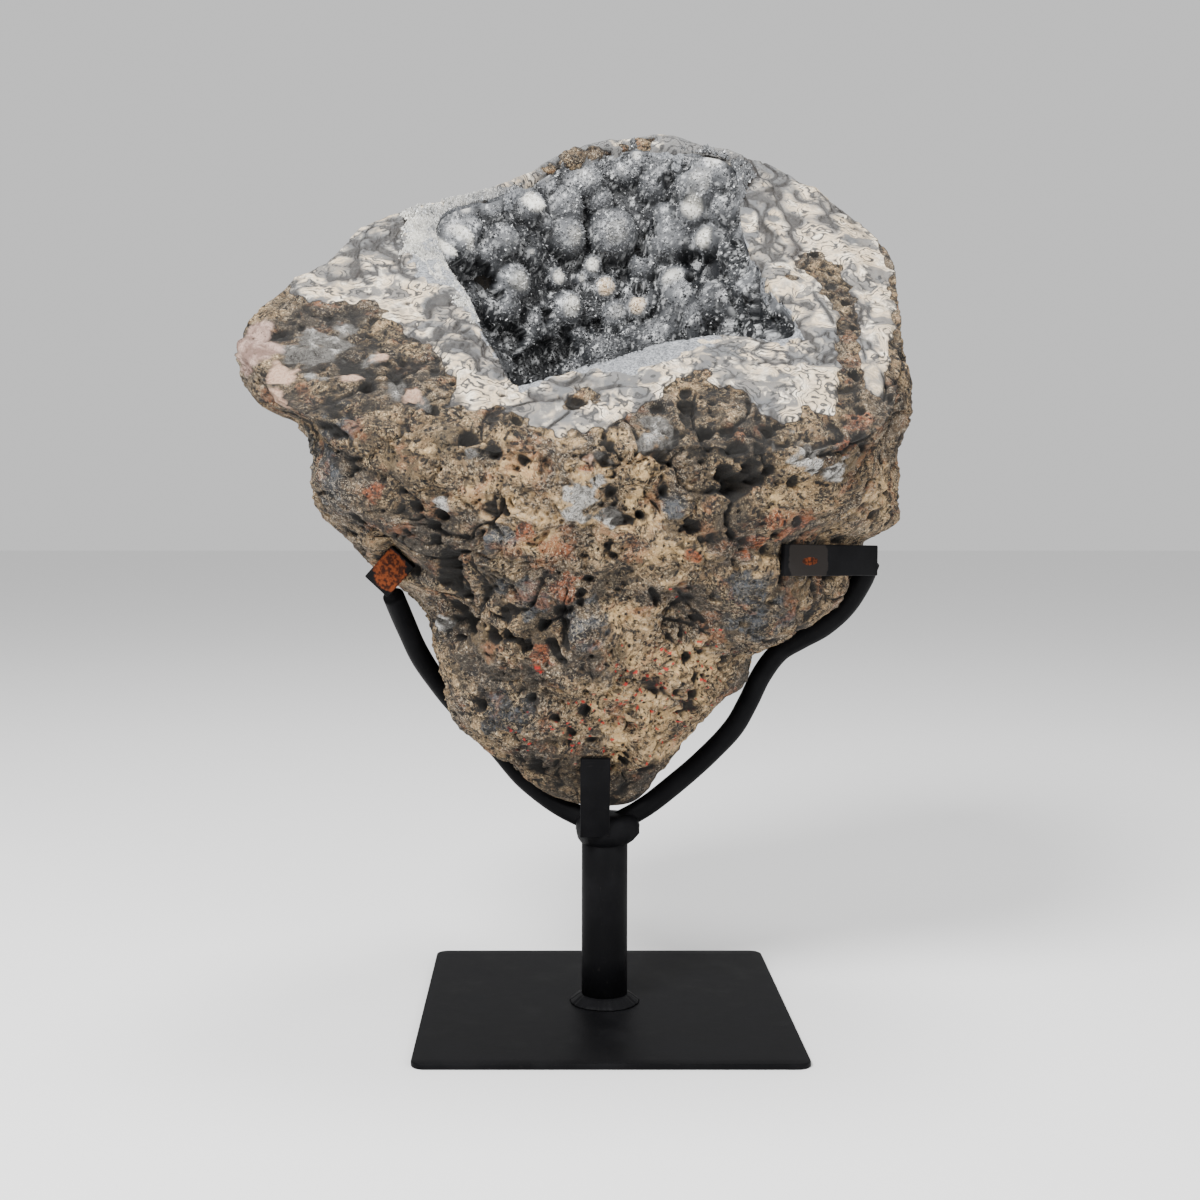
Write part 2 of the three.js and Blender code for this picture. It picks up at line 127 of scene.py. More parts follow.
# Profiles of radius and height: the post, the bead at its foot, and the top weld with its swell's share
WELD_START = PLATE_THICKNESS + 0.3
POST_PROFILE = (
    (10.0, WELD_START), (POST_RADIUS, WELD_START), (POST_RADIUS, 30), (POST_RADIUS, 60),
    (POST_RADIUS, POST_TOP - 1), (POST_RADIUS - 1, POST_TOP), (5, POST_TOP),
)
FOOT_PROFILE = (
    (POST_RADIUS - 1, WELD_START), (POST_RADIUS + 6.6, WELD_START),
    (POST_RADIUS + 6.2, PLATE_THICKNESS + 1.0), (POST_RADIUS + 4.4, PLATE_THICKNESS + 2.2),
    (POST_RADIUS + 2.4, PLATE_THICKNESS + 3.8), (POST_RADIUS + 0.8, PLATE_THICKNESS + 4.8),
    (POST_RADIUS - 1, PLATE_THICKNESS + 5.0),
)
TOP_PROFILE = (
    (9.0, 92, 0), (13.0, 92.6, 0.1), (14.2, 95, 0.6), (15.2, 99, 1), (15.4, 103, 1), (14.6, 106.6, 0.8),
    (12.6, 108.4, 0.5), (7.0, 108.8, 0.2),
)

# Marks in the paint: a middle, and how quickly a burnt mark fades along each axis
LEFT_BURN = ((-113.5, -47, 245), (0.070, 0.03, 0.056))
RIGHT_BURN = ((101, -66, 251), (0.13, 0.05, 0.32))
RIGHT_BARE = (100, -66, 251)

# Lights: name, place and target in metres, width in metres and power in watts
LIGHTS = (
    ("key_light", (-0.7, -1.1, 1.5), (0, 0, 0.32), 0.6, 66.0),
    ("fill_light", (1.1, -1.2, 0.9), (0, 0, 0.3), 0.9, 14.0),
    ("top_light", (0.1, 0.1, 1.9), (0, 0, 0.4), 0.6, 18.0),
)
SKY_STRENGTH = 0.78
SENSOR_WIDTH = 36.0
FLOOR_CORNERS = ((-6, -4, 0), (6, -4, 0), (6, 8, 0), (-6, 8, 0))

# Spots on the stone, each as the photograph's pixel column and row and a radius in pixels
WHITE_SPOTS = (
    (586, 500, 15), (814, 459, 22), (345, 325, 12), (372, 352, 10), (312, 372, 9), (650, 434, 13),
    (659, 419, 12), (395, 383, 13), (470, 455, 8), (439, 625, 9), (443, 508, 8), (319, 345, 24),
    (297, 350, 14), (420, 395, 9), (600, 487, 9), (600, 460, 10), (838, 476, 12), (576, 517, 10),
    (612, 520, 9),
)
PEACH_SPOTS = ((279, 370, 17), (268, 392, 12), (413, 388, 9), (350, 372, 9), (590, 462, 8), (380, 350, 8))
MAUVE_SPOTS = ((250, 346, 24), (257, 325, 14))
RUST_SPOTS = (
    (776, 524, 12), (756, 544, 10), (568, 593, 13), (559, 553, 14), (372, 495, 11), (809, 526, 8),
    (858, 420, 15), (852, 440, 12), (541, 660, 11), (789, 538, 8), (525, 536, 9), (590, 470, 8),
    (745, 560, 8), (690, 560, 7),
)
SLATE_SPOTS = (
    (327, 486, 30), (340, 428, 24), (506, 718, 26), (740, 596, 30), (769, 634, 24), (524, 598, 26),
    (586, 629, 22), (439, 640, 13), (671, 508, 12), (500, 540, 16), (300, 455, 22), (812, 552, 11),
)
TAN_SPOTS = (
    (532, 500, 62), (649, 486, 32), (671, 553, 42), (416, 450, 32), (845, 526, 20), (649, 723, 62),
    (600, 470, 40), (560, 450, 30), (640, 640, 40), (880, 500, 26), (480, 640, 24), (700, 660, 30),
    (800, 505, 36), (815, 590, 26), (850, 470, 26), (760, 570, 20),
)
SHADE_SPOTS = (
    (370, 450, 46), (345, 400, 50), (450, 560, 40), (470, 650, 42), (540, 620, 36), (515, 700, 44),
    (765, 600, 60), (720, 515, 44), (845, 470, 36), (705, 600, 34), (800, 545, 50), (430, 530, 34),
    (400, 500, 40), (620, 585, 26), (330, 360, 40), (370, 345, 34), (560, 770, 40), (730, 430, 40),
    (500, 590, 34), (590, 660, 26), (270, 400, 40), (440, 440, 26), (640, 790, 30), (745, 690, 26),
    (300, 325, 34), (365, 345, 40), (400, 375, 34), (340, 310, 26), (290, 400, 34), (745, 446, 24),
    (770, 480, 22), (330, 420, 34), (400, 450, 34), (380, 540, 30),
)
RED_SPOTS = (
    (666, 700, 60), (640, 740, 50), (590, 720, 40), (700, 660, 34), (683, 600, 18), (520, 745, 16),
    (540, 665, 12), (575, 752, 16),
)
PITS = (
    (722, 475, 8), (738, 487, 13), (774, 475, 6), (796, 484, 7), (412, 509, 6), (436, 517, 7),
    (434, 543, 7), (695, 529, 9), (713, 600, 6), (468, 625, 9), (488, 638, 9), (524, 649, 8),
    (559, 616, 7), (586, 558, 5), (448, 567, 11), (443, 584, 12), (461, 598, 9), (477, 709, 6),
    (557, 723, 6), (586, 714, 6), (782, 584, 7), (532, 772, 7), (430, 404, 7), (738, 442, 9),
    (702, 428, 8), (854, 370, 6), (578, 397, 9), (468, 433, 9), (848, 296, 5), (814, 247, 4),
    (750, 470, 9), (760, 485, 8), (432, 530, 7), (505, 640, 7), (515, 645, 7), (540, 630, 6),
    (640, 520, 5), (612, 560, 5), (455, 610, 8), (410, 575, 6), (690, 400, 8), (365, 382, 7),
)
# Brown rind inside the agate: a hollow in the front band and a few flecks
VEIN = (
    (790, 272, 5), (587, 390, 11), (575, 402, 7), (836, 262, 6), (780, 262, 4), (466, 300, 3),
    (556, 170, 9), (578, 160, 12), (600, 151, 9), (643, 138, 10), (628, 142, 7), (268, 302, 9),
)
GREY_SPOTS = (
    (590, 368, 15), (620, 373, 15), (650, 372, 13), (638, 402, 18), (725, 348, 12), (757, 397, 11),
    (785, 372, 11), (828, 334, 11), (745, 200, 12), (752, 230, 11), (757, 260, 10), (765, 290, 10),
    (850, 236, 9), (400, 240, 11), (386, 267, 9), (372, 244, 8), (318, 297, 13), (296, 304, 9),
    (815, 225, 8), (873, 300, 6), (800, 350, 13), (700, 362, 9), (560, 382, 10), (470, 330, 9),
    (500, 372, 8), (440, 330, 7), (860, 350, 7), (430, 300, 9), (775, 215, 8),
)
# Each colour mask of the stone: its name, its spots and how ragged their edges are
PATCHES = (
    ("white", WHITE_SPOTS, 0.8), ("peach", PEACH_SPOTS, 0.8), ("mauve", MAUVE_SPOTS, 0.3),
    ("rust", RUST_SPOTS, 0.8), ("slate", SLATE_SPOTS, 0.6), ("tan", TAN_SPOTS, 0.6),
    ("red", RED_SPOTS, 0.6), ("shade", SHADE_SPOTS, 0.9), ("grey", GREY_SPOTS, 0.7),
)
# How far back the agate turns grey, in millimetres
GREY_BACK = 66.0
# Outlines drawn over the photograph, as pixel columns and rows: agate, and crystal hollow
AGATE_OUTLINE = (
    (284, 292), (300, 297), (328, 303), (355, 299), (377, 299), (386, 312), (409, 330), (426, 343),
    (440, 363), (453, 383), (447, 404), (480, 406), (507, 410), (542, 428), (569, 435), (609, 428),
    (632, 410), (659, 395), (676, 379), (699, 372), (712, 378), (743, 390), (761, 406), (772, 419),
    (792, 415), (806, 408), (824, 417), (842, 406), (855, 385), (880, 397), (886, 370), (891, 330),
    (895, 299), (891, 267), (877, 249), (950, 200), (800, 100), (600, 100), (430, 150), (300, 230),
)
VEIN_OUTLINE = (
    (798, 248), (814, 248), (830, 262), (846, 280), (857, 300), (859, 330), (861, 360), (869, 385),
    (890, 398), (925, 398), (925, 480), (838, 480), (837, 400), (838, 370), (836, 340), (835, 310),
    (825, 292), (811, 278), (796, 266),
)
DRUSE_OUTLINE = (
    (409, 226), (418, 210), (446, 204), (498, 195), (543, 180), (587, 166), (623, 153), (676, 151),
    (721, 160), (746, 172), (736, 196), (732, 227), (754, 258), (768, 290), (792, 312), (801, 343),
    (779, 343), (743, 328), (721, 334), (676, 361), (632, 374), (587, 370), (560, 374), (534, 388),
    (516, 383), (498, 357), (471, 321), (453, 290), (426, 285), (409, 262),
)
# Rounded swellings of the rind: pixel column and row, radius in pixels, height in millimetres
MOUNDS = (
    (578, 161, 15, 6.0), (600, 152, 10, 6.0), (556, 170, 9, 4.0), (642, 139, 10, 4.0),
    (247, 345, 18, 4.0), (270, 320, 14, 3.0), (300, 440, 20, 3.0),
    (599, 634, 27, 5.0), (506, 718, 22, 3.0), (430, 470, 40, 4.5), (556, 500, 52, 4.0),
    (664, 560, 38, 4.0), (745, 590, 38, 4.5), (640, 480, 24, 3.5), (490, 560, 30, 4.0),
    (690, 470, 18, 3.5), (835, 500, 28, 4.5), (372, 440, 34, 4.5), (540, 745, 26, 3.0),
    (642, 738, 30, 3.0), (520, 640, 22, 3.0), (600, 560, 26, 3.5), (620, 690, 30, 3.0),
    (330, 480, 28, 3.5), (700, 520, 24, 3.0), (800, 470, 24, 3.0), (460, 500, 24, 3.0),
    (560, 690, 24, 3.0), (450, 660, 22, 3.0), (585, 455, 20, 2.5), (780, 620, 26, 4.0),
)
BEDDING = ((718, 670, 40), (705, 710, 34), (735, 640, 26))

# Knobs of the crystal lining: pixel column and row, radius in pixels, and how pale each one is
KNOBS = (
    (532, 204, 14, 1.0), (468, 207, 10, 0.8), (505, 243, 16, 0.45), (531, 253, 6, 0.95),
    (565, 240, 21, 0.6), (512, 285, 19, 0.7), (556, 278, 11, 0.95), (566, 312, 18, 0.9),
    (582, 283, 8, 0.8), (606, 288, 14, 1.1), (566, 208, 19, 0.42), (613, 238, 25, 0.55),
    (593, 269, 12, 0.85), (637, 306, 14, 1.15), (615, 313, 15, 0.7), (664, 243, 22, 0.4),
    (673, 283, 17, 0.8), (683, 298, 23, 0.42), (702, 185, 28, 0.55), (690, 212, 15, 0.95),
    (706, 243, 17, 0.95), (720, 214, 16, 0.4), (638, 159, 9, 0.75), (621, 172, 10, 0.5),
    (711, 160, 14, 0.7), (733, 254, 16, 0.12), (725, 302, 26, 0.32), (585, 178, 20, 0.5),
    (650, 190, 16, 0.2), (540, 330, 22, 0.15), (480, 262, 16, 0.3), (455, 240, 24, 0.75),
    (432, 250, 18, 0.95), (500, 310, 20, 0.25), (470, 230, 14, 0.35), (600, 205, 15, 0.35),
    (548, 175, 14, 0.5), (520, 345, 18, 0.12), (590, 340, 16, 0.2), (640, 265, 15, 0.3),
    (605, 360, 26, 0.55), (655, 345, 26, 0.5), (700, 325, 22, 0.45), (575, 372, 16, 0.5),
    (750, 285, 16, 0.25), (545, 225, 10, 0.35), (670, 320, 14, 0.3), (630, 335, 14, 0.3),
    (775, 300, 14, 0.3), (745, 225, 14, 0.4), (660, 215, 12, 0.3), (490, 190, 14, 0.4),
)
# Gaps in the crystal lining, painted dark as shade and sunk a little: pixel column and row, radius in
# pixels
SHADED_GAPS = (
    (530, 362, 16), (560, 345, 14), (590, 330, 8), (668, 185, 12), (648, 235, 10), (705, 275, 16),
    (712, 298, 14), (638, 290, 8), (785, 335, 12), (739, 177, 9), (485, 290, 14), (545, 352, 14),
    (735, 320, 14), (625, 275, 7), (760, 320, 12), (478, 280, 12), (690, 262, 10), (520, 375, 14),
    (760, 298, 15), (776, 328, 13), (744, 268, 13), (728, 288, 14), (716, 262, 12), (508, 345, 14),
    (546, 368, 14), (600, 328, 9), (672, 172, 12), (740, 246, 11), (640, 250, 8), (540, 318, 9),
)

# Primes that mix the lattice's coordinates, and how far apart two uses of one noise lie
HASH_A = 73856093
HASH_B = 19349663
HASH_C = 83492791
HASH_MIX = 1274126177
SEED_SHIFT = 17.3
DRIFT_SHIFTS = (0.0, 41.0, 83.0)
FAR = 9.0

# Fixed colours of the stone, the crystals and the stand, as linear red, green and blue
DARK_FIBRE = (0.014, 0.011, 0.009)
SHADE_BROWN = (0.015, 0.012, 0.009)
SLATE_DARK = (0.009, 0.010, 0.012)
SLATE_LIGHT = (0.066, 0.074, 0.085)
RUST_DARK = (0.06, 0.016, 0.007)
RUST_LIGHT = (0.32, 0.080, 0.024)
RUST_STAIN = (0.30, 0.105, 0.04)
THREAD_PALE = (0.66, 0.56, 0.42)
THREAD_GOLD = (0.86, 0.66, 0.38)
GLOOM = (0.012, 0.009, 0.007)
RED_FLECK = (0.50, 0.022, 0.014)
# Painted shade: near black in the rind's pores and in the low places of its relief
PORE_AND_HOLLOW_SHADE = (0.005, 0.004, 0.003)
AGATE_TAN = (0.58, 0.44, 0.27)
AGATE_BRIGHT = (0.92, 0.87, 0.78)
AGATE_SOFT_LINE = (0.13, 0.125, 0.12)
AGATE_DARK_LINE = (0.014, 0.013, 0.013)
FOLD_LINE = (0.014, 0.012, 0.011)
# Painted shade in the agate's pits and low places
AGATE_PIT_SHADE = (0.018, 0.014, 0.012)
AGATE_GRAIN = (0.12, 0.105, 0.085)
CHALK_LIGHT = (0.78, 0.75, 0.69)
CHALK_DARK = (0.34, 0.33, 0.31)
CHALK_LINE = (0.025, 0.022, 0.02)
# Painted shade in the hollows of the chalky patches
CHALK_HOLLOW_SHADE = (0.03, 0.026, 0.022)
PEACH_LIGHT = (0.68, 0.48, 0.35)
PEACH_DARK = (0.42, 0.25, 0.17)
MAUVE_DARK = (0.24, 0.15, 0.12)
MAUVE_LIGHT = (0.52, 0.36, 0.30)
RIM_LINE = (0.028, 0.025, 0.024)
CRUST_DARK = (0.05, 0.055, 0.064)
CRUST_LIGHT = (0.34, 0.35, 0.365)
WARM_QUARTZ = (0.62, 0.46, 0.29)
GLINT_WHITE = (0.86, 0.87, 0.87)
OLD_PAINT = (0.009, 0.009, 0.010)
SCRATCH_GREY = (0.030, 0.027, 0.025)
BARE_STEEL = (0.036, 0.031, 0.028)
BURNT_DARK = (0.030, 0.011, 0.007)
BURNT_ORANGE = (0.14, 0.036, 0.013)

# Bands of the wall as shares of the way from tip to rim, and the fine skins' grids
WALL_BANDS = (("rind_tip", 0.004, 0.36), ("rind_middle", 0.36, 0.68), ("rind_upper", 0.68, 0.965))
BELOW_RIM = 0.035
BELOW_RIM_ROWS = 12
INTO_HOLLOW = 0.06
INTO_HOLLOW_ROWS = 10
BACK_STRIDE = 8
BACK_ROW_STEP = 9
FRONT_CROWDING = 0.075
RELIEF_RANGE = 9.0
LINING_COLUMNS = 704
LINING_ROWS = 134
LINING_START = 0.012
LINING_END = 0.97
FACET_SIZE = 2.4
CRYSTAL_SEEDS = (1, 2, 3, 4)
CRYSTAL_SIDES = 6
CRYSTAL_SUNK = 0.35
FACE_CRYSTALS = 7
ROD_RINGS = 110
ROD_SIDES = 28
BAR_ARRIS = 0.6
PLATE_ARRIS = 0.7
PLATE_LIP = 8.0
POST_SIDES = 64
FOOT_SIDES = 160
FOOT_RIPPLE = 0.28
TOP_SIDES = 96


def smooth(value):
    """Smooth step: 3 t squared minus 2 t cubed, with t held between 0 and 1."""
    t = np.clip(value, 0.0, 1.0)
    return t * t * (3 - 2 * t)


def through(table, at):
    """Smooth curve through a table's points, with each slope taken from the two neighbours."""
    knots = np.array([row[0] for row in table], float)
    values = np.array([row[1] for row in table], float)
    last = len(knots) - 1
    x = np.clip(at, knots[0], knots[last])
    i = np.clip(np.searchsorted(knots, x, side="right") - 1, 0, last - 1)
    before, after = np.maximum(i - 1, 0), np.minimum(i + 2, last)
    step = knots[i + 1] - knots[i]
    slope_in = step * (values[i + 1] - values[before]) / (knots[i + 1] - knots[before])
    slope_out = step * (values[after] - values[i]) / (knots[after] - knots[i])
    s = (x - knots[i]) / step
    blend = s * s * (3 - 2 * s)
    rise = (values[i + 1] - values[i]) * blend
    return values[i] + rise + slope_in * s * (1 - s) ** 2 - slope_out * s * s * (1 - s)


def around(table, degrees):
    """The same curve for a table of angles, which goes round."""
    head = [(angle - 360, value) for angle, value in table[-2:]]
    tail = [(angle + 360, value) for angle, value in table[:2]]
    return through(head + list(table) + tail, np.mod(degrees, 360.0))


def lattice(i, j, k):
    """A value between 0 and 1 for each whole-number point, from a mixed hash of its coordinates."""
    a = i.astype(np.uint32) * np.uint32(HASH_A)
    b = j.astype(np.uint32) * np.uint32(HASH_B)
    c = k.astype(np.uint32) * np.uint32(HASH_C)
    n = a ^ b ^ c
    n = (n ^ (n >> np.uint32(13))) * np.uint32(HASH_MIX)
    return ((n ^ (n >> np.uint32(16))) & np.uint32(0xFFFF)) / 65535.0


def noise(points, size):
    """Lattice values blended with the smooth step in each axis, from -1 to 1, at the given size."""
    scaled = points / size
    base = np.floor(scaled).astype(np.int64)
    weight = smooth(scaled - base)
    total = np.zeros(len(points))
    for corner in range(8):
        di, dj, dk = corner & 1, (corner >> 1) & 1, corner >> 2
        share = (weight[:, 0] if di else 1 - weight[:, 0]) \
            * (weight[:, 1] if dj else 1 - weight[:, 1]) \
            * (weight[:, 2] if dk else 1 - weight[:, 2])
        total += share * lattice(base[:, 0] + di, base[:, 1] + dj, base[:, 2] + dk)
    return 2 * total - 1


def ridges(points, size):
    """One minus the size of the noise: sharp crests where the noise crosses zero."""
    return 1 - 2 * np.abs(noise(points, size))


def drift(points, size):
    """Three noises as a vector that bends places."""
    return np.stack([noise(points + shift, size) for shift in DRIFT_SHIFTS], -1)


def scattered(points, size, seed):
    """For each of the 27 cells round a place: distance to the cell's own point, in cells, and its value."""
    scaled = points / size + seed * SEED_SHIFT
    base = np.floor(scaled).astype(np.int64)
    for step in np.ndindex(3, 3, 3):
        cell = base + np.array(step) - 1
        i, j, k = cell[:, 0], cell[:, 1], cell[:, 2]
        spot = np.stack([lattice(i, j, k), lattice(i + 91, j, k), lattice(i, j + 57, k)], 1)
        yield np.linalg.norm(cell + spot - scaled, axis=1), lattice(i, j, k + 33)


def cells(points, size, seed=0):
    """Distance to the nearest scattered point, in cells, and that point's own random value."""
    nearest = np.full(len(points), FAR)
    value = np.zeros(len(points))
    for away, own in scattered(points, size, seed):
        closer = away < nearest
        nearest = np.where(closer, away, nearest)
        value = np.where(closer, own, value)
    return nearest, value


def creases(points, size, seed=0):
    """How much farther the second scattered point is than the nearest: zero on the cells' borders."""
    nearest = np.full(len(points), FAR)
    second = np.full(len(points), FAR)
    for away, _ in scattered(points, size, seed):
        second = np.minimum(second, np.maximum(nearest, away))
        nearest = np.minimum(nearest, away)
    return second - nearest


def unit(vectors):
    """Each vector divided by its length."""
    return vectors / np.maximum(np.linalg.norm(vectors, axis=-1, keepdims=True), 1e-9)


def half_ball(away):
    """Height of a half ball of radius 1 at a distance from its middle."""
    return np.sqrt(np.clip(1 - away * away, 0, 1))


def circle(count):
    """Angles once round a circle, and the points of a flat circle of radius 1."""
    angle = np.arange(count) * 2 * np.pi / count
    return angle, np.stack([np.cos(angle), np.sin(angle), np.zeros(count)], -1)


def cut_height(y):
    """Height of the cut plane, which rises towards the back."""
    return CUT_HEIGHT + CUT_SLOPE * y


def turn(degrees):
    """Cosine and sine of an angle in degrees."""
    return np.cos(np.radians(degrees)), np.sin(np.radians(degrees))


def wall_radius(degrees, z):
    """Radius of a squarish oval whose half widths change with the height."""
    c, s = turn(degrees)
    across = np.where(c > 0, through(RIGHT_SIDE, z), through(LEFT_SIDE, z)).clip(0.01)
    along = np.where(s > 0, through(BACK_SIDE, z), through(FRONT_SIDE, z)).clip(0.01)
    total = (np.abs(c) / across) ** SECTION_POWER + (np.abs(s) / along) ** SECTION_POWER
    return total ** (-1 / SECTION_POWER)


def mouth_points(degrees, depth=0.0):
    """The hollow's outline on the cut plane, which grows rounder with depth."""
    c, s = turn(degrees)
    share = smooth(np.asarray(depth) * 1.6)
    radius = around(MOUTH, degrees) * (1 - share) + FLOOR_RADIUS * share
    x, y = HOLLOW_MOUTH[0] + radius * c, HOLLOW_MOUTH[1] + radius * s
    return np.stack([x, y, cut_height(y)], -1)


def face_points(degrees, w):
    """The cut face: a straight way from rim (w 0) to mouth (w 1), crowned, and worn at the front rim."""
    c, s = turn(degrees)
    radius = around(RIM, degrees)
    rim = np.stack([radius * c, radius * s, cut_height(radius * s)], -1)
    point = rim + (mouth_points(degrees) - rim) * np.asarray(w)[..., None]
    worn = smooth(-1.5 * s - 0.2) * RIM_DROP * (1 - smooth(w / 0.3)) ** 2
    point[..., 2] = cut_height(point[..., 1]) + FACE_CROWN * np.sin(np.pi * w) - worn
    return point


def wall_points(degrees, t):
    """The rough wall from tip (t 0) to rim (t 1): the oval, fitted to the rim, with lumps and noise."""
    c, s = turn(degrees)
    rim = face_points(degrees, np.zeros_like(degrees))
    z = TIP[2] + (rim[:, 2] - TIP[2]) * t
    rim_radius = np.hypot(rim[:, 0], rim[:, 1])
    fit = 1 + (rim_radius / wall_radius(degrees, rim[:, 2]) - 1) * smooth((t - 0.55) / 0.45)
    radius = wall_radius(degrees, z) * fit
    point = np.stack([radius * c, radius * s + TIP[1] * (1 - smooth(t * 3)), z], -1)
    fade = smooth(t * 6) * smooth((1 - t) * 9)
    rise = fade * (4.5 * noise(point, 46) + 2.5 * noise(point, 21))
    for x, y, lump_z, size, height in LUMPS:
        away = np.linalg.norm(point - np.array([x, y, lump_z]), axis=1) / size
        rise += fade * height * np.clip(1 - away * away, 0, 1) ** 2
    out = np.stack([c, s, -0.35 * (1 - t)], -1)
    return point + out * rise[:, None], unit(out)


def hollow_points(degrees, d):
    """The hollow's wall from mouth (d 0) to floor (d 1): a quarter turn of a squarish bowl."""
    mouth = mouth_points(degrees, d)
    across = np.cos(np.clip(d, 0, 1) * np.pi / 2).clip(0) ** 0.65
    down = np.sin(d * np.pi / 2)
    middle = cut_height(HOLLOW_MOUTH[1])
    x = HOLLOW_MOUTH[0] * (1 - down) + HOLLOW_FLOOR[0] * down + (mouth[:, 0] - HOLLOW_MOUTH[0]) * across
    y = HOLLOW_MOUTH[1] * (1 - down) + HOLLOW_FLOOR[1] * down + (mouth[:, 1] - HOLLOW_MOUTH[1]) * across
    z = middle + (HOLLOW_FLOOR[2] - middle) * down + (mouth[:, 2] - middle) * across
    return np.stack([x, y, z], -1)


def hollow_inward(degrees, d):
    """Direction into the open hollow: the cross product of a step round and a step down."""
    here = hollow_points(degrees, d)
    beside = hollow_points(degrees + 2, d) - here
    below = hollow_points(degrees, np.minimum(d + 0.02, 0.999)) - here
    return unit(np.cross(beside, below))


def to_photo(points):
    """Pixel column, pixel row and depth of each point, seen by the photograph's camera."""
    ahead = np.array([0, math.cos(CAMERA_PITCH), -math.sin(CAMERA_PITCH)])
    above = np.array([0, math.sin(CAMERA_PITCH), math.cos(CAMERA_PITCH)])
    offset = points - CAMERA_PLACE
    depth = offset @ ahead
    column = PHOTO_CENTRE[0] + FOCAL_PIXELS * offset[..., 0] / depth
    row = PHOTO_CENTRE[1] - FOCAL_PIXELS * (offset @ above) / depth
    return column, row, depth


class Surveyor:
    """Finds the surface point that the photograph shows at a pixel, on a coarse copy of a surface."""

    def __init__(self, points):
        self.points = points
        self.column, self.row, self.depth = to_photo(points)

    def find(self, column, row):
        """Of the points that fall near the pixel, the one nearest to the camera."""
        away = np.hypot(self.column - column, self.row - row)
        near = away < max(5.0, away.min() + 1.0)
        return self.points[near][np.argmin(self.depth[near])]

    def spread(self, points, column, row, radius, widening=1.0):
        """Each point's distance from the place at a pixel, in radii, and the radius in millimetres."""
        centre = self.find(column, row)
        reach = widening * radius * (centre[1] - CAMERA_PLACE[1]) / FOCAL_PIXELS
        return np.linalg.norm(points - centre, axis=1) / reach, reach


def stone_survey():
    """Coarse points of the wall and the cut face."""
    degrees, t = np.meshgrid(np.arange(0, 360, 0.6), np.linspace(0.02, 1, 180))
    wall, _ = wall_points(degrees.ravel(), t.ravel())
    degrees, w = np.meshgrid(np.arange(0, 360, 0.6), np.linspace(0, 1, 50))
    return Surveyor(np.concatenate([wall, face_points(degrees.ravel(), w.ravel())]))


def hollow_survey():
    """Coarse points of the hollow's back and sides, which the camera sees over the front lip."""
    degrees, d = np.meshgrid(np.arange(0, 360, 0.8), np.linspace(0.01, 0.98, 160))
    degrees, d = degrees.ravel(), d.ravel()
    points = hollow_points(degrees, d)
    facing = np.sum(hollow_inward(degrees, d) * (CAMERA_PLACE - points), axis=1) > 0
    return Surveyor(points[facing])


CUT_NORMAL = unit(np.array([0.0, -CUT_SLOPE, 1.0]))
STONE = stone_survey()
HOLLOW = hollow_survey()


def spot_mask(points, spots, ragged=0.45, survey=STONE):
    """Union of soft-edged balls round the spots, their edges made ragged with noise."""
    mask = np.zeros(len(points))
    edge = ragged * (noise(points, 7) + 0.6 * noise(points, 2.8))
    for column, row, radius in spots:
        away, _ = survey.spread(points, column, row, radius)
        mask = np.maximum(mask, smooth((1.15 - away + edge) / 0.3))
    return mask


def inside_outline(points, outline, ragged=0.0):
    """Distance in pixels from a point's place in the photograph to an outline, positive inside it."""
    column, row, _ = to_photo(points)
    column = column + ragged * noise(points, 6)
    row = row + ragged * noise(points + 50, 6)
    shape = np.array(outline, float)
    nearest = np.full(len(points), 1e9)
    crossings = np.zeros(len(points), int)
    for (ax, ay), (bx, by) in zip(shape, np.roll(shape, -1, axis=0)):
        length = (bx - ax) ** 2 + (by - ay) ** 2
        share = np.clip(((column - ax) * (bx - ax) + (row - ay) * (by - ay)) / length, 0, 1)
        across, down = column - ax - share * (bx - ax), row - ay - share * (by - ay)
        nearest = np.minimum(nearest, np.hypot(across, down))
        spans = (ay > row) != (by > row)
        run = (bx - ax) / (by - ay) if by != ay else 0.0
        crossings += spans & (column < ax + (row - ay) * run)
    return np.where(crossings % 2 == 1, nearest, -nearest)


def mound_height(points):
    """Height of the marked swellings, each half a ball, so that creases lie between them."""
    height = np.zeros(len(points))
    wander = 0.22 * noise(points, 9)
    for column, row, radius, rise in MOUNDS:
        away, _ = STONE.spread(points, column, row, radius)
        height = np.maximum(height, rise * half_ball(away + wander))
    return height


def pit_depth(points):
    """Depth of the marked holes: each a round bowl about as deep as it is wide."""
    depth = np.zeros(len(points))
    wander = 0.25 * noise(points, 4)
    for column, row, radius in PITS:
        away, reach = STONE.spread(points, column, row, radius, 1.2)
        depth = np.maximum(depth, 1.6 * reach * smooth(1.25 - away + wander))
    return depth


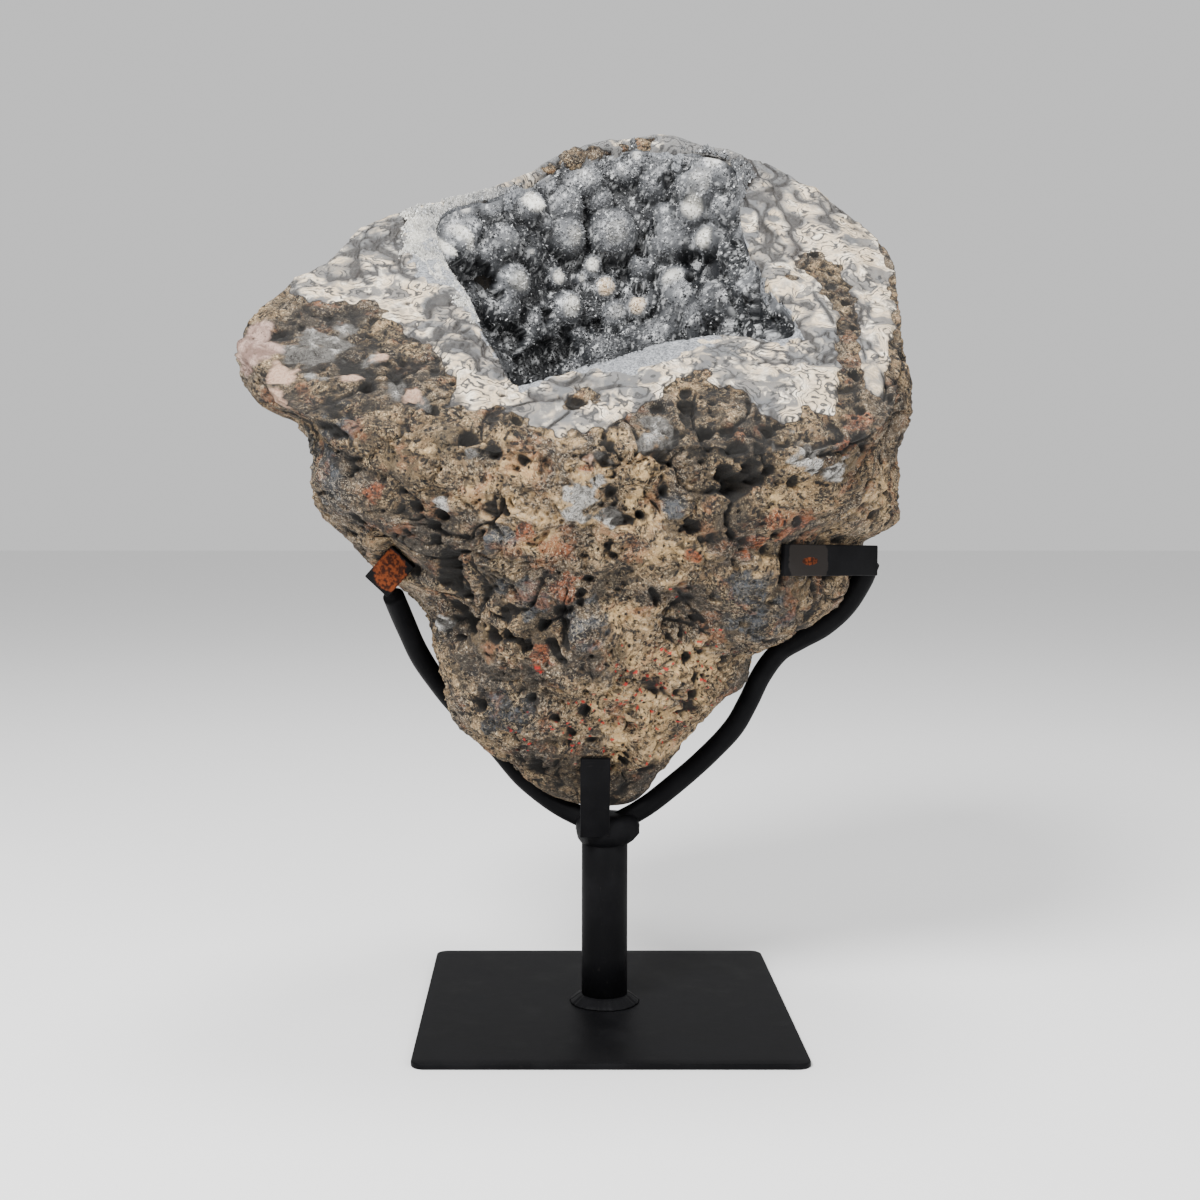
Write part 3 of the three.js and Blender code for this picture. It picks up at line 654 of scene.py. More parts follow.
def rind_relief(points):
    """Height of the porous rind: ridged noise in three sizes, streaks, bubbles and fine pores."""
    warp = drift(points, 15)
    bent = points + 7 * warp
    height = 1.3 * ridges(bent, 13) + 0.9 * ridges(points + 3 * warp, 5.5) + 0.55 * noise(points, 2.2)
    flow = bent * np.array([0.45, 1.0, 1.0]) + 0.35 * bent[:, [2, 0, 1]]
    height += 0.5 * ridges(flow * np.array([0.35, 1.0, 1.0]), 2.8)
    broken = smooth(noise(points, 38) * 2.4 + 0.3)
    height -= 2.8 * broken * smooth(1 - creases(bent, 30, 6) / 0.10)
    height -= 1.3 * smooth(noise(points + 9, 24) * 2.4 + 0.3) * smooth(1 - creases(bent, 12, 7) / 0.12)
    bed = spot_mask(points, BEDDING, 0.5)
    leaning = points @ np.array([0.45, 0.2, 0.87]) + 2.2 * noise(points, 16)
    height += bed * (1.6 * np.abs(np.sin(leaning * 0.62)) - 1.4) + mound_height(points) - 1.0
    away, value = cells(bent, 11)
    height -= np.where(value > 0.5, 4.2 * smooth((0.42 * value - away) / 0.3 + 0.3), 0)
    away, value = cells(points, 4.6, 1)
    height -= np.where(value > 0.35, 1.7 * smooth((0.5 * value - away) / 0.3 + 0.2), 0)
    return height - pit_depth(points)


def along_mouth(points):
    """Places measured out from the hollow and round it, the way round shortened, so folds run with it."""
    x, y = points[:, 0] - HOLLOW_MOUTH[0], points[:, 1] - HOLLOW_MOUTH[1]
    angle = np.arctan2(y, x)
    outward = np.hypot(x, y) - around(MOUTH, np.degrees(angle))
    bend = 7 * noise(points, 20)
    return np.stack([outward + bend, 34 * np.cos(angle) + 2 * bend, 34 * np.sin(angle) - bend], -1)


def agate_seams(points):
    """Distance from the borders of the agate's long folds, faded out where a broad noise is high."""
    folds = creases(along_mouth(points), 19, 8) + 0.9 * smooth(noise(points + 7, 26) * 2.2 + 0.45)
    lobes = creases(points + 5 * drift(points, 9), 14, 9)
    lobes += 0.9 * smooth(noise(points + 90, 30) * 2.6 + 0.75)
    return np.minimum(folds, lobes)


def agate_relief(points):
    """Height of the worn agate: folded layers that meet in creases, with scattered small pits."""
    folded = along_mouth(points)
    height = 2.0 * noise(folded, 17) + 1.0 * noise(folded + 31, 8) + 0.5 * noise(points, 5)
    height += 0.28 * noise(points, 2.2) - 1.5 * smooth(1 - agate_seams(points) / 0.08)
    away, value = cells(points, 8, 2)
    return height - np.where(value > 0.66, 2.0 * smooth((0.26 - away) / 0.16), 0)


def bar_axes(bar):
    """Middle, length and the three directions of a flat bar: along, across and outward."""
    start, end, facing = (np.array(item, float) for item in bar)
    along = unit(end - start)
    outward = unit(facing - along * (facing @ along))
    return (start + end) / 2, np.linalg.norm(end - start), along, np.cross(outward, along), outward


def smooth_path(route, count):
    """Points at even steps of the smooth curve through a route's points."""
    route = np.array(route, float)
    reach = np.concatenate([[0], np.cumsum(np.linalg.norm(np.diff(route, axis=0), axis=1))])
    at = np.linspace(0, reach[-1], count)
    return np.stack([through(list(zip(reach, route[:, axis])), at) for axis in range(3)], -1)


def clear_of_stand(points, out):
    """Stone drawn in wherever a rod or a bar passes, so that each lies in a shallow seat."""
    points = points.copy()
    for bar in BARS:
        middle, length, along, across, outward = bar_axes(bar)
        offset = points - middle
        beyond = np.maximum(np.abs(offset @ along) - length / 2, np.abs(offset @ across) - BAR_WIDTH / 2)
        limit = -BAR_THICKNESS / 2 - CLEARANCE + 1.3 * np.maximum(beyond, 0)
        excess = offset @ outward - limit
        near = (beyond < 12) & (excess > 0) & (excess < 26)
        points[near] -= outward * excess[near, None]
    for route in (LEFT_ROUTE, RIGHT_ROUTE):
        path = smooth_path(route, 90)
        low, high = path.min(0) - 9, path.max(0) + 9
        for _ in range(3):
            near = np.flatnonzero(np.all((points > low) & (points < high), axis=1))
            if not len(near):
                continue
            offset = points[near][:, None, :] - path[None]
            away = np.linalg.norm(offset, axis=2)
            nearest = away.argmin(1)
            gap = away[np.arange(len(near)), nearest]
            push = unit(unit(offset[np.arange(len(near)), nearest]) - 0.8 * out[near])
            need = np.maximum(ROD_RADIUS + CLEARANCE - gap, 0)
            points[near] += push * need[:, None]
    return points


def stone_masks(points, agate, height):
    """Named masks of the stone at each point, which its material reads."""
    masks = {name: spot_mask(points, spots, ragged) for name, spots, ragged in PATCHES}
    masks["grey"] = np.maximum(masks["grey"], smooth((points[:, 1] - GREY_BACK) / 22))
    masks["agate"] = agate
    masks["seam"] = agate_seams(points)
    # relief: the surface's height, which the material reads to paint shade in low places
    masks["relief"] = np.clip(0.5 + height / RELIEF_RANGE, 0, 1)
    return masks


def ring_angles(count):
    """Angles once round, set closer together at the front, by a sine added to an even spread."""
    even = np.arange(count) / count
    return 270 + 360 * (even - FRONT_CROWDING * np.sin(2 * np.pi * even))


def join_rings(fine, coarse, flip):
    """Triangles between a fine ring of indices and a coarse one, each coarse step a fan of fine ones."""
    ratio = len(fine) // len(coarse)
    step = np.arange(len(fine))
    owner = ((step + ratio // 2) // ratio) % len(coarse)
    fan = np.stack([fine, np.roll(fine, -1), coarse[owner]], -1)
    last = (np.arange(len(coarse)) * ratio + ratio // 2) % len(fine)
    switch = np.stack([fine[last], coarse[owner[last]], coarse[owner[last] - 1]], -1)
    faces = np.concatenate([fan, switch])
    return faces[:, ::-1] if flip else faces


def band_faces(index, flip=False):
    """Quads of a grid of indices whose rows are rings."""
    here, across = index[:-1], np.roll(index, -1, axis=1)[:-1]
    above, above_across = index[1:], np.roll(index, -1, axis=1)[1:]
    quads = np.stack([here, across, above_across, above], -1).reshape(-1, 4)
    return quads[:, ::-1] if flip else quads


def closed_band(front, back):
    """A closed skin: a fine band of rings in front, a coarse band behind, and fans between them."""
    rows, columns = front.shape[:2]
    fine = np.arange(rows * columns).reshape(rows, columns)
    coarse = back[:, ::BACK_STRIDE]
    behind = rows * columns + np.arange(coarse.shape[0] * coarse.shape[1]).reshape(coarse.shape[:2])
    points = np.concatenate([front.reshape(-1, 3), coarse.reshape(-1, 3)])
    quads = np.concatenate([band_faces(fine), band_faces(behind, True)])
    fans = np.concatenate([join_rings(fine[0], behind[0], True), join_rings(fine[-1], behind[-1], False)])
    return points, quads, fans


def sparse_rows(grid):
    """Every ninth row or so of a grid, with its first and last."""
    return grid[np.linspace(0, len(grid) - 1, max(len(grid) // BACK_ROW_STEP, 2)).round().astype(int)]


def make_piece(name, points, quads, triangles, masks=None, flat=False, slot="rock", node="geode"):
    """A mesh in millimetres made a piece that rides on the stand and stands for a node."""
    mesh = bpy.data.meshes.new(name)
    loops = np.concatenate([quads.ravel(), triangles.ravel()]).astype(np.int32)
    sizes = np.concatenate([np.full(len(quads), 4), np.full(len(triangles), 3)])
    starts = np.concatenate([[0], np.cumsum(sizes)[:-1]])
    mesh.vertices.add(len(points))
    mesh.vertices.foreach_set("co", (points * MM).astype(np.float32).ravel())
    mesh.loops.add(len(loops))
    mesh.loops.foreach_set("vertex_index", loops)
    mesh.polygons.add(len(sizes))
    mesh.polygons.foreach_set("loop_start", starts.astype(np.int32))
    mesh.update(calc_edges=True)
    mesh.validate()
    smooth_faces = np.zeros(len(mesh.polygons), bool)
    smooth_faces[:len(quads)] = not flat
    mesh.polygons.foreach_set("use_smooth", smooth_faces)
    for mask_name, values in (masks or {}).items():
        full = np.zeros(len(points), np.float32)
        full[:len(values)] = values
        mesh.attributes.new(mask_name, "FLOAT", "POINT").data.foreach_set("value", full)
    piece = bpy.data.objects.new(name, mesh)
    bpy.context.scene.collection.objects.link(piece)
    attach(piece, "root")
    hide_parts(node)
    return piece


class Value:
    """A socket in a node tree that takes part in Python arithmetic."""

    def __init__(self, shader, socket):
        self.shader = shader
        self.socket = socket

    def math(self, operation, *others):
        """A maths node on this value and others."""
        node = self.shader.node("ShaderNodeMath", {"operation": operation}, {})
        for slot_number, item in enumerate((self, *others)):
            self.shader.feed(node.inputs[slot_number], item)
        return Value(self.shader, node.outputs[0])

    def __add__(self, other):
        return self.math("ADD", other)

    def __sub__(self, other):
        return self.math("SUBTRACT", other)

    def __rsub__(self, other):
        return (self * -1) + other

    def __mul__(self, other):
        return self.math("MULTIPLY", other)

    def __truediv__(self, other):
        return self.math("DIVIDE", other)

    __radd__ = __add__
    __rmul__ = __mul__

    def size(self):
        """The value without its sign."""
        return self.math("ABSOLUTE")

    def fraction(self):
        """What is left above the next lower whole number."""
        return self.math("FRACT")

    def steps(self, low, high):
        """0 below low, 1 above high, and a smooth step between; reversed where low is the larger."""
        node = self.shader.node("ShaderNodeMapRange", {"interpolation_type": "SMOOTHSTEP"},
                                {"Value": self, "From Min": low, "From Max": high})
        return Value(self.shader, node.outputs[0])


class Shader:
    """A material's node tree, with one way to make any node and a few that are used often."""

    def __init__(self, name):
        self.material = bpy.data.materials.new(name)
        self.material.use_nodes = True
        self.tree = self.material.node_tree
        self.bsdf = self.tree.nodes["Principled BSDF"]
        coordinates = self.node("ShaderNodeTexCoord", {}, {})
        self.place = self.vector("SCALE", Value(self, coordinates.outputs["Object"]), scale=1 / MM)

    def feed(self, socket, item):
        """Links a value to a socket, or sets the socket to a number or colour."""
        if isinstance(item, Value):
            self.tree.links.new(item.socket, socket)
        elif item is not None:
            socket.default_value = item

    def node(self, kind, settings, sockets):
        """Any node: its type, its settings first, then values or links of its sockets by name."""
        node = self.tree.nodes.new(kind)
        for setting, value in settings.items():
            setattr(node, setting, value)
        for name, item in sockets.items():
            self.feed(node.inputs[name], item)
        return node

    def vector(self, operation, first, second=None, scale=None):
        """A vector maths node."""
        node = self.node("ShaderNodeVectorMath", {"operation": operation}, {})
        self.feed(node.inputs[0], first)
        if second is not None:
            self.feed(node.inputs[1], second)
        if scale is not None:
            self.feed(node.inputs["Scale"], scale)
        return Value(self, node.outputs["Value" if operation == "LENGTH" else "Vector"])

    def noise(self, size, detail=4.0, roughness=0.55, at=None, distortion=0.0):
        """Noise about 0.5 whose features are about as large as the size, in millimetres."""
        node = self.node("ShaderNodeTexNoise", {"noise_dimensions": "3D"}, {
            "Vector": at or self.place, "Scale": 1 / size, "Detail": detail,
            "Roughness": roughness, "Distortion": distortion})
        return Value(self, node.outputs[0])

    def warped(self, size, amount):
        """The place moved by a noise vector."""
        node = self.node("ShaderNodeTexNoise", {"noise_dimensions": "3D"}, {
            "Vector": self.place, "Scale": 1 / size, "Detail": 3.0})
        shift = self.vector("SUBTRACT", Value(self, node.outputs["Color"]), (0.5, 0.5, 0.5))
        return self.vector("ADD", self.place, self.vector("SCALE", shift, scale=amount))

    def dots(self, size, outer, inner, at=None):
        """1 near scattered points and 0 away from them, with the edge between two shares of a cell."""
        node = self.node("ShaderNodeTexVoronoi", {"feature": "F1"},
                         {"Vector": at or self.place, "Scale": 1 / size})
        return Value(self, node.outputs["Distance"]).steps(outer, inner)

    def attribute(self, name):
        """A mask stored on the mesh."""
        node = self.node("ShaderNodeAttribute", {"attribute_name": name}, {})
        return Value(self, node.outputs["Fac"])

    def mix(self, factor, first, second):
        """A colour between two, by a factor."""
        node = self.node("ShaderNodeMix", {"data_type": "RGBA"}, {})
        self.feed(node.inputs[0], factor)
        for slot_number, item in ((6, first), (7, second)):
            self.feed(node.inputs[slot_number], item if isinstance(item, Value) else (*item, 1.0))
        return Value(self, node.outputs[2])

    def layered(self, base, *layers):
        """A base colour with layers on it, each a mask and the colour that it lays down."""
        for mask, colour in layers:
            base = self.mix(mask, base, colour)
        return base

    def bump(self, height, distance, strength=1.0):
        """A normal bent by a height, with the distance in metres."""
        sockets = {"Height": height, "Distance": distance, "Strength": strength}
        node = self.node("ShaderNodeBump", {}, sockets)
        return Value(self, node.outputs["Normal"])

    def finish(self, **sockets):
        """The material, its main sockets fed by name."""
        for name, item in sockets.items():
            self.feed(self.bsdf.inputs[name.replace("_", " ")], item)
        return self.material


class StoneFields:
    """Noises that the stone's colours share, from broad to fine, and the relief mask, by which the colours
    paint shade in low places.
    """

    def __init__(self, shader):
        self.warped = shader.warped(22.0, 14.0)
        self.relief = shader.attribute("relief")
        self.broad = shader.noise(30.0, 3.0)
        self.middle = shader.noise(2.3, 6.0, 0.72, at=self.warped)
        self.coarse = shader.noise(11.0, 4.0, 0.6, at=self.warped)
        self.fine = shader.noise(1.3, 5.0, 0.75)
        self.cloud = shader.noise(9.0, 5.0, 0.62, at=self.warped)
        self.threads = (shader.noise(4.6, 5.0, 0.72, at=self.warped, distortion=0.8) - 0.5).size()


def rind_colour(shader, colours, fields):
    """Porous brown rock: fibres and patches, pale threads and flecks on them, and last the painted shade of
    pores and of low places in the relief.
    """
    broad, coarse, fine = fields.broad, fields.coarse, fields.fine
    tan = shader.attribute("tan")
    shade = shader.attribute("shade") * coarse.steps(0.36, 0.56)
    lit = 1 - shade * 0.75
    tone = fields.middle * 0.7 + coarse * 0.3 + (fine - 0.5) * 0.3 + tan * 0.035
    light = shader.mix(broad.steps(0.38, 0.62), colours.rind, colours.rind_light)
    light = shader.mix(tan * coarse.steps(0.40, 0.58), light, colours.rind_tan)
    dark = shader.mix(coarse.steps(0.40, 0.60), DARK_FIBRE, colours.rind_dark)
    slate = shader.mix(tone.steps(0.45, 0.60), SLATE_DARK, SLATE_LIGHT)
    rust = shader.mix(tone.steps(0.42, 0.58), RUST_DARK, RUST_LIGHT)
    bright = shader.mix(broad.steps(0.4, 0.6), THREAD_PALE, THREAD_GOLD)
    stain = shader.noise(17.0, 4.0, 0.6, at=fields.warped).steps(0.54, 0.66)
    flecks = shader.dots(2.2, 0.26, 0.12)
    threads = fields.threads.steps(0.018, 0.004)
    webs = (shader.noise(2.4, 4.0, 0.7, distortion=1.2) - 0.5).size().steps(0.014, 0.003)
    gloom = shader.noise(8.0, 6.0, 0.72, at=fields.warped, distortion=0.9).steps(0.47, 0.38)
    red = shader.dots(5.0, 0.26, 0.14, at=shader.warped(5.0, 6.0))
    pores = shader.dots(3.6, 0.32, 0.18, at=fields.warped)
    return shader.layered(
        shader.mix(tone.steps(0.44, 0.56), dark, light),
        (shade * 0.84, SHADE_BROWN),
        (shader.attribute("slate") * coarse.steps(0.34, 0.50), slate),
        (shader.attribute("rust") * fine.steps(0.36, 0.52) * 0.9, rust),
        (stain * tone.steps(0.42, 0.52) * 0.5, RUST_STAIN),
        (flecks * coarse.steps(0.48, 0.60) * lit * 0.9, bright),
        (threads * fine.steps(0.42, 0.56) * lit * 0.95, bright),
        (webs * coarse.steps(0.46, 0.58) * lit * 0.7, bright),
        (gloom * 0.82, GLOOM),
        (red * shader.attribute("red") * 0.9, RED_FLECK),
        # painted shade: black dots for pores, then black in the low places of the relief
        (pores * broad.steps(0.34, 0.50) * 0.95, PORE_AND_HOLLOW_SHADE),
        (fields.relief.steps(0.45, 0.20) * 0.97, PORE_AND_HOLLOW_SHADE))


def agate_colour(shader, colours, fields):
    """Folded cream agate: clouds and bands, grey veils on them, dark lines in its folds, then painted shade
    in its low places and a fine grain last.
    """
    cloud, fine = fields.cloud, fields.fine
    layers = shader.noise(26.0, 3.0, 0.5, at=shader.warped(32.0, 26.0))
    band = ((layers * 15 + cloud * 2.2).fraction() - 0.5).size()
    soft = ((layers * 24 + cloud * 3.0).fraction() - 0.5).size()
    seam = shader.attribute("seam") + (cloud - 0.5) * 0.25
    tan = shader.noise(17.0, 5.0, 0.6).steps(0.50, 0.60)
    gate = shader.noise(14.0, 3.0).steps(0.42, 0.52)
    return shader.layered(
        shader.mix(cloud.steps(0.38, 0.52), colours.agate_white, colours.agate_cream),
        (tan * 0.7, AGATE_TAN),
        (fine.steps(0.5, 0.75) * 0.5, AGATE_BRIGHT),
        (band.steps(0.26, 0.06) * 0.5, colours.agate_grey),
        (seam.steps(0.34, 0.10) * 0.85, colours.agate_blue),
        (layers.steps(0.50, 0.57) * cloud.steps(0.40, 0.50) * 0.9, colours.agate_blue),
        (shader.attribute("grey") * cloud.steps(0.30, 0.46) * 0.95, colours.agate_blue),
        (soft.steps(0.26, 0.08) * 0.38, AGATE_SOFT_LINE),
        (band.steps(0.22, 0.09) * gate * 0.95, AGATE_DARK_LINE),
        (seam.steps(0.13, 0.05) * 0.9, FOLD_LINE),
        # painted shade in the agate's pits and low places
        (fields.relief.steps(0.36, 0.24) * 0.95, AGATE_PIT_SHADE),
        (fine.steps(0.46, 0.30) * 0.6, AGATE_GRAIN))


def patched_colour(shader, rind, fields):
    """The rind with its chalky white, peach and mauve patches."""
    fine = fields.fine
    white = shader.layered(
        shader.mix(fine.steps(0.40, 0.60), CHALK_LIGHT, CHALK_DARK),
        (fields.threads.steps(0.035, 0.012) * 0.85, CHALK_LINE),
        # painted shade in the chalk's hollows
        (fields.relief.steps(0.50, 0.36) * 0.8, CHALK_HOLLOW_SHADE))
    peach = shader.mix(fine.steps(0.38, 0.6), PEACH_LIGHT, PEACH_DARK)
    mauve = shader.mix(fields.cloud.steps(0.4, 0.6), MAUVE_DARK, MAUVE_LIGHT)
    return shader.layered(
        rind,
        (shader.attribute("white") * fine.steps(0.34, 0.46), white),
        (shader.attribute("peach") * fine.steps(0.32, 0.44), peach),
        (shader.attribute("mauve") * fine.steps(0.34, 0.46), mauve))


def stone_material(colours):
    """Porous brown rind and folded cream agate, told apart by the agate mask."""
    shader = Shader("stone")
    fields = StoneFields(shader)
    cloud, fine, middle = fields.cloud, fields.fine, fields.middle
    edge = shader.attribute("agate") + (cloud - 0.5) * 0.6 + (fine - 0.5) * 0.3
    polish = edge.steps(0.47, 0.53)
    crust = shader.attribute("druse") + (cloud - 0.5) * 0.8
    colour = shader.layered(
        patched_colour(shader, rind_colour(shader, colours, fields), fields),
        (polish, agate_colour(shader, colours, fields)),
        ((edge - 0.47).size().steps(0.18, 0.05) * 0.85, RIM_LINE),
        (crust.steps(0.42, 0.62), shader.mix(fine.steps(0.36, 0.64), CRUST_DARK, CRUST_LIGHT)))
    roughness = 0.86 - polish * 0.44
    height = fine * (1 - polish * 0.75) * 1.3 + middle * (1 - polish * 0.8) * 0.9
    return shader.finish(Base_Color=colour, Roughness=roughness, Normal=shader.bump(height, 0.0013))


def druse_material(colours):
    """Grey quartz: painted shade in the gaps and deep down, pale knobs with a painted highlight on their
    crowns, glossy on every facet.
    """
    shader = Shader("druse")
    tone = shader.attribute("tone") + (shader.noise(6.0, 5.0, 0.6) - 0.5) * 0.35
    glint = shader.attribute("glint")
    colour = shader.layered(
        colours.quartz_dark_and_shade,
        (tone.steps(0.0, 0.42), colours.quartz),
        (tone.steps(0.40, 0.95), colours.quartz_pale),
        (shader.attribute("warm") * tone.steps(0.4, 0.8) * 0.8, WARM_QUARTZ),
        (glint * 0.8, GLINT_WHITE))
    return shader.finish(Base_Color=colour, Roughness=0.34 - glint * 0.2,
                         Normal=shader.bump(shader.noise(0.9, 3.0), 0.0004, 0.6), IOR=1.54)


def near_place(shader, place, low, high, stretch=(1.0, 1.0, 1.0)):
    """1 near a place given in millimetres and 0 far from it."""
    offset = shader.vector("MULTIPLY", shader.vector("SUBTRACT", shader.place, place), stretch)
    return shader.vector("LENGTH", offset).steps(high, low)


def steel_material(name, colours, burnt=None, bare=None):
    """Matt black paint with faint scratches and dust, and a burnt or bare patch where one is given."""
    shader = Shader(name)
    cloud = shader.noise(30.0, 4.0)
    grain = shader.noise(0.7, 3.0)
    stretched = shader.vector("MULTIPLY", shader.warped(40.0, 8.0), (1.0, 22.0, 3.0))
    scratch = shader.noise(9.0, 2.0, at=stretched)
    colour = shader.layered(
        colours.paint,
        (cloud.steps(0.4, 0.7) * 0.5, OLD_PAINT),
        (scratch.steps(0.66, 0.78) * 0.22, SCRATCH_GREY))
    roughness = 0.50 + (cloud - 0.5) * 0.25 - scratch.steps(0.6, 0.8) * 0.08
    if bare is not None:
        patch = near_place(shader, bare, 11.0, 19.0) + (shader.noise(8.0, 4.0, 0.7) - 0.5) * 1.4
        patch = patch.steps(0.42, 0.52)
        colour = shader.mix(patch * 0.5, colour, BARE_STEEL)
    if burnt is not None:
        place, stretch = burnt
        ragged = near_place(shader, place, 0.3, 1.0, stretch) + (shader.noise(6.5, 5.0, 0.7) - 0.5) * 1.3
        rust = shader.mix(shader.noise(2.0, 4.0).steps(0.4, 0.6), BURNT_DARK, BURNT_ORANGE)
        mask = ragged.steps(0.45, 0.60)
        colour = shader.mix(mask, colour, rust)
        roughness = roughness + mask * 0.25
    shader.bsdf.inputs["Specular IOR Level"].default_value = 0.04
    return shader.finish(Base_Color=colour, Roughness=roughness, Normal=shader.bump(grain, 0.00025, 0.35))


def colour_setting(name, description, default):
    """A colour that the panel shows."""
    return bpy.props.FloatVectorProperty(
        name=name, description=description, subtype="COLOR", default=default)


class StoneSettings(bpy.types.PropertyGroup):
    rind: colour_setting("Rind", "Middle colour of the rind", (0.125, 0.084, 0.048))
    rind_dark: colour_setting("Dark rind", "Colour of the rind's dark parts", (0.034, 0.026, 0.019))
    rind_light: colour_setting("Light rind", "Colour of the rind's light parts", (0.280, 0.180, 0.088))
    rind_tan: colour_setting("Tan rind", "Colour of the tan patches", (0.56, 0.365, 0.160))
    agate_white: colour_setting("White agate", "Palest layers of the agate", (0.84, 0.75, 0.60))
    agate_cream: colour_setting("Cream agate", "Cream layers of the agate", (0.66, 0.52, 0.35))
    agate_grey: colour_setting("Grey agate", "Clouds in the agate", (0.20, 0.19, 0.175))
    agate_blue: colour_setting("Blue agate", "Blue-grey layers of the agate", (0.090, 0.093, 0.096))
    wall_columns: bpy.props.IntProperty(
        name="Columns", description="Points once round the stone", default=832, min=64)
    wall_rows: bpy.props.IntProperty(
        name="Rows", description="Rows of points in each band of the stone", default=116, min=8)


class DruseSettings(bpy.types.PropertyGroup):
    quartz: colour_setting("Quartz", "Middle colour of the crystals", (0.120, 0.124, 0.131))
    # Dark quartz is the crystals' darkest colour and also paints the shade in the gaps and deep in the
    # hollow
    quartz_dark_and_shade: colour_setting("Dark quartz", "Colour of the crystals in the gaps", (0.010, 0.011, 0.013))
    # Pale quartz is the knobs' own pale colour and also paints a highlight on their crowns
    quartz_pale: colour_setting("Pale quartz", "Colour of the knobs' crowns", (0.66, 0.64, 0.58))
    crystals: bpy.props.IntProperty(
        name="Crystals", description="Crystal points in each of the four pieces", default=18000, min=100)
    crystal_size: bpy.props.FloatProperty(
        name="Crystal size", description="Middle width of a crystal point", subtype="DISTANCE",
        default=0.0014, min=0.0002)


class StandSettings(bpy.types.PropertyGroup):
    paint: colour_setting("Paint", "Colour of the stand's paint", (0.0035, 0.0035, 0.0040))
    floor: colour_setting("Floor", "Colour of the floor", (0.86, 0.86, 0.86))


def stone_finish(colours):
    """The one stone material, made on first use."""
    return bpy.data.materials.get("stone") or stone_material(colours)


def thin_limit(degrees, t):
    """How deep the relief may go: little at the back rim, where the hollow is just behind."""
    behind = smooth(turn(degrees)[1] * 2.5 + 0.3)
    return -3.0 - 13.0 * np.maximum(1 - behind, smooth((0.93 - t) / 0.12))


def wall_band(name, low, high, settings):
    """A closed band of the stone's wall between two heights along it, with the rind's relief."""
    degrees, t = np.meshgrid(ring_angles(settings.wall_columns),
                             np.linspace(low, high, settings.wall_rows))
    shape = degrees.shape
    degrees, t = degrees.ravel(), t.ravel()
    points, out = wall_points(degrees, t)
    height = rind_relief(points)
    height = np.maximum(height, thin_limit(degrees, t))
    fade = smooth(t * 8) * 0.85 + 0.15
    front = clear_of_stand(points + out * (height * fade)[:, None], out)
    masks = stone_masks(points, np.zeros(len(points)), height)
    deep = np.minimum(16.0, 0.5 * np.hypot(points[:, 0], points[:, 1]))
    inner = points - out * np.minimum(deep, 1 - thin_limit(degrees, t))[:, None]
    skin = closed_band(front.reshape(*shape, 3), sparse_rows(inner.reshape(*shape, 3)))
    piece = make_piece(name, *skin, masks)
    piece.data.materials.append(stone_finish(settings))


def agate_share(points):
    """1 on the agate and 0 on the rough rind of the cut face, from the outline over the photograph."""
    agate = smooth(inside_outline(points, AGATE_OUTLINE, 7.0) / 5 + 0.5)
    vein = np.maximum(spot_mask(points, VEIN, 0.7),
                      smooth(inside_outline(points, VEIN_OUTLINE, 6.0) / 4 + 0.5))
    return agate * (1 - vein) * (1 - 0.7 * pit_depth(points).clip(0, 1))


def face_band(name, settings):
    """The cut face from just below the rim, across the agate and a little way into the hollow."""
    rows = settings.wall_rows
    across_rows = rows - BELOW_RIM_ROWS - INTO_HOLLOW_ROWS + 2
    steps = np.concatenate([np.linspace(-BELOW_RIM, 0, BELOW_RIM_ROWS)[:-1], np.linspace(0, 1, across_rows),
                            1 + np.linspace(0, INTO_HOLLOW, INTO_HOLLOW_ROWS)[1:]])
    degrees, s = np.meshgrid(ring_angles(settings.wall_columns), steps)
    shape = degrees.shape
    degrees, s = degrees.ravel(), s.ravel()
    wall, out = wall_points(degrees, 1 + np.minimum(s, 0))
    face = face_points(degrees, np.clip(s, 0, 1))
    inside = hollow_points(degrees, np.clip(s - 1, 0, 1))
    inward = hollow_inward(degrees, np.clip(s - 1, 0, 1))
    on_wall, in_hollow = (s < 0)[:, None], (s > 1)[:, None]
    points = np.where(on_wall, wall, np.where(in_hollow, inside, face))
    normal = np.where(on_wall, out, np.where(in_hollow, inward, CUT_NORMAL))
    at_rim = smooth(1 - np.abs(s) / 0.03)[:, None]
    normal = unit(normal * (1 - 0.5 * at_rim) + 0.5 * at_rim * (out + CUT_NORMAL))
    agate = agate_share(points) * smooth((s + 0.02) / 0.02)
    rough = rind_relief(points)
    ends = smooth((s + BELOW_RIM) / 0.01)
    height = agate * agate_relief(points) + (1 - agate) * (0.7 * rough - 1.2)
    height = np.where(s < 0, rough * (1 - ends) + height * ends, height)
    height = np.maximum(height, thin_limit(degrees, np.ones(len(s))) * 0.7)
    front = points + normal * height[:, None]
    masks = stone_masks(points, agate, height)
    masks["druse"] = smooth(inside_outline(points, DRUSE_OUTLINE, 8.0) / 6 + 0.5) * smooth(s / 0.01)
    grid = front.reshape(*shape, 3)
    heart = (grid[BELOW_RIM_ROWS - 1] + grid[rows - BELOW_RIM_ROWS]) / 2 - np.array([0, 0, 14.0])
    back = grid[[0, -1]] * 0.6 + heart * 0.4
    piece = make_piece(name, *closed_band(grid, back), masks)
    piece.data.materials.append(stone_finish(settings))


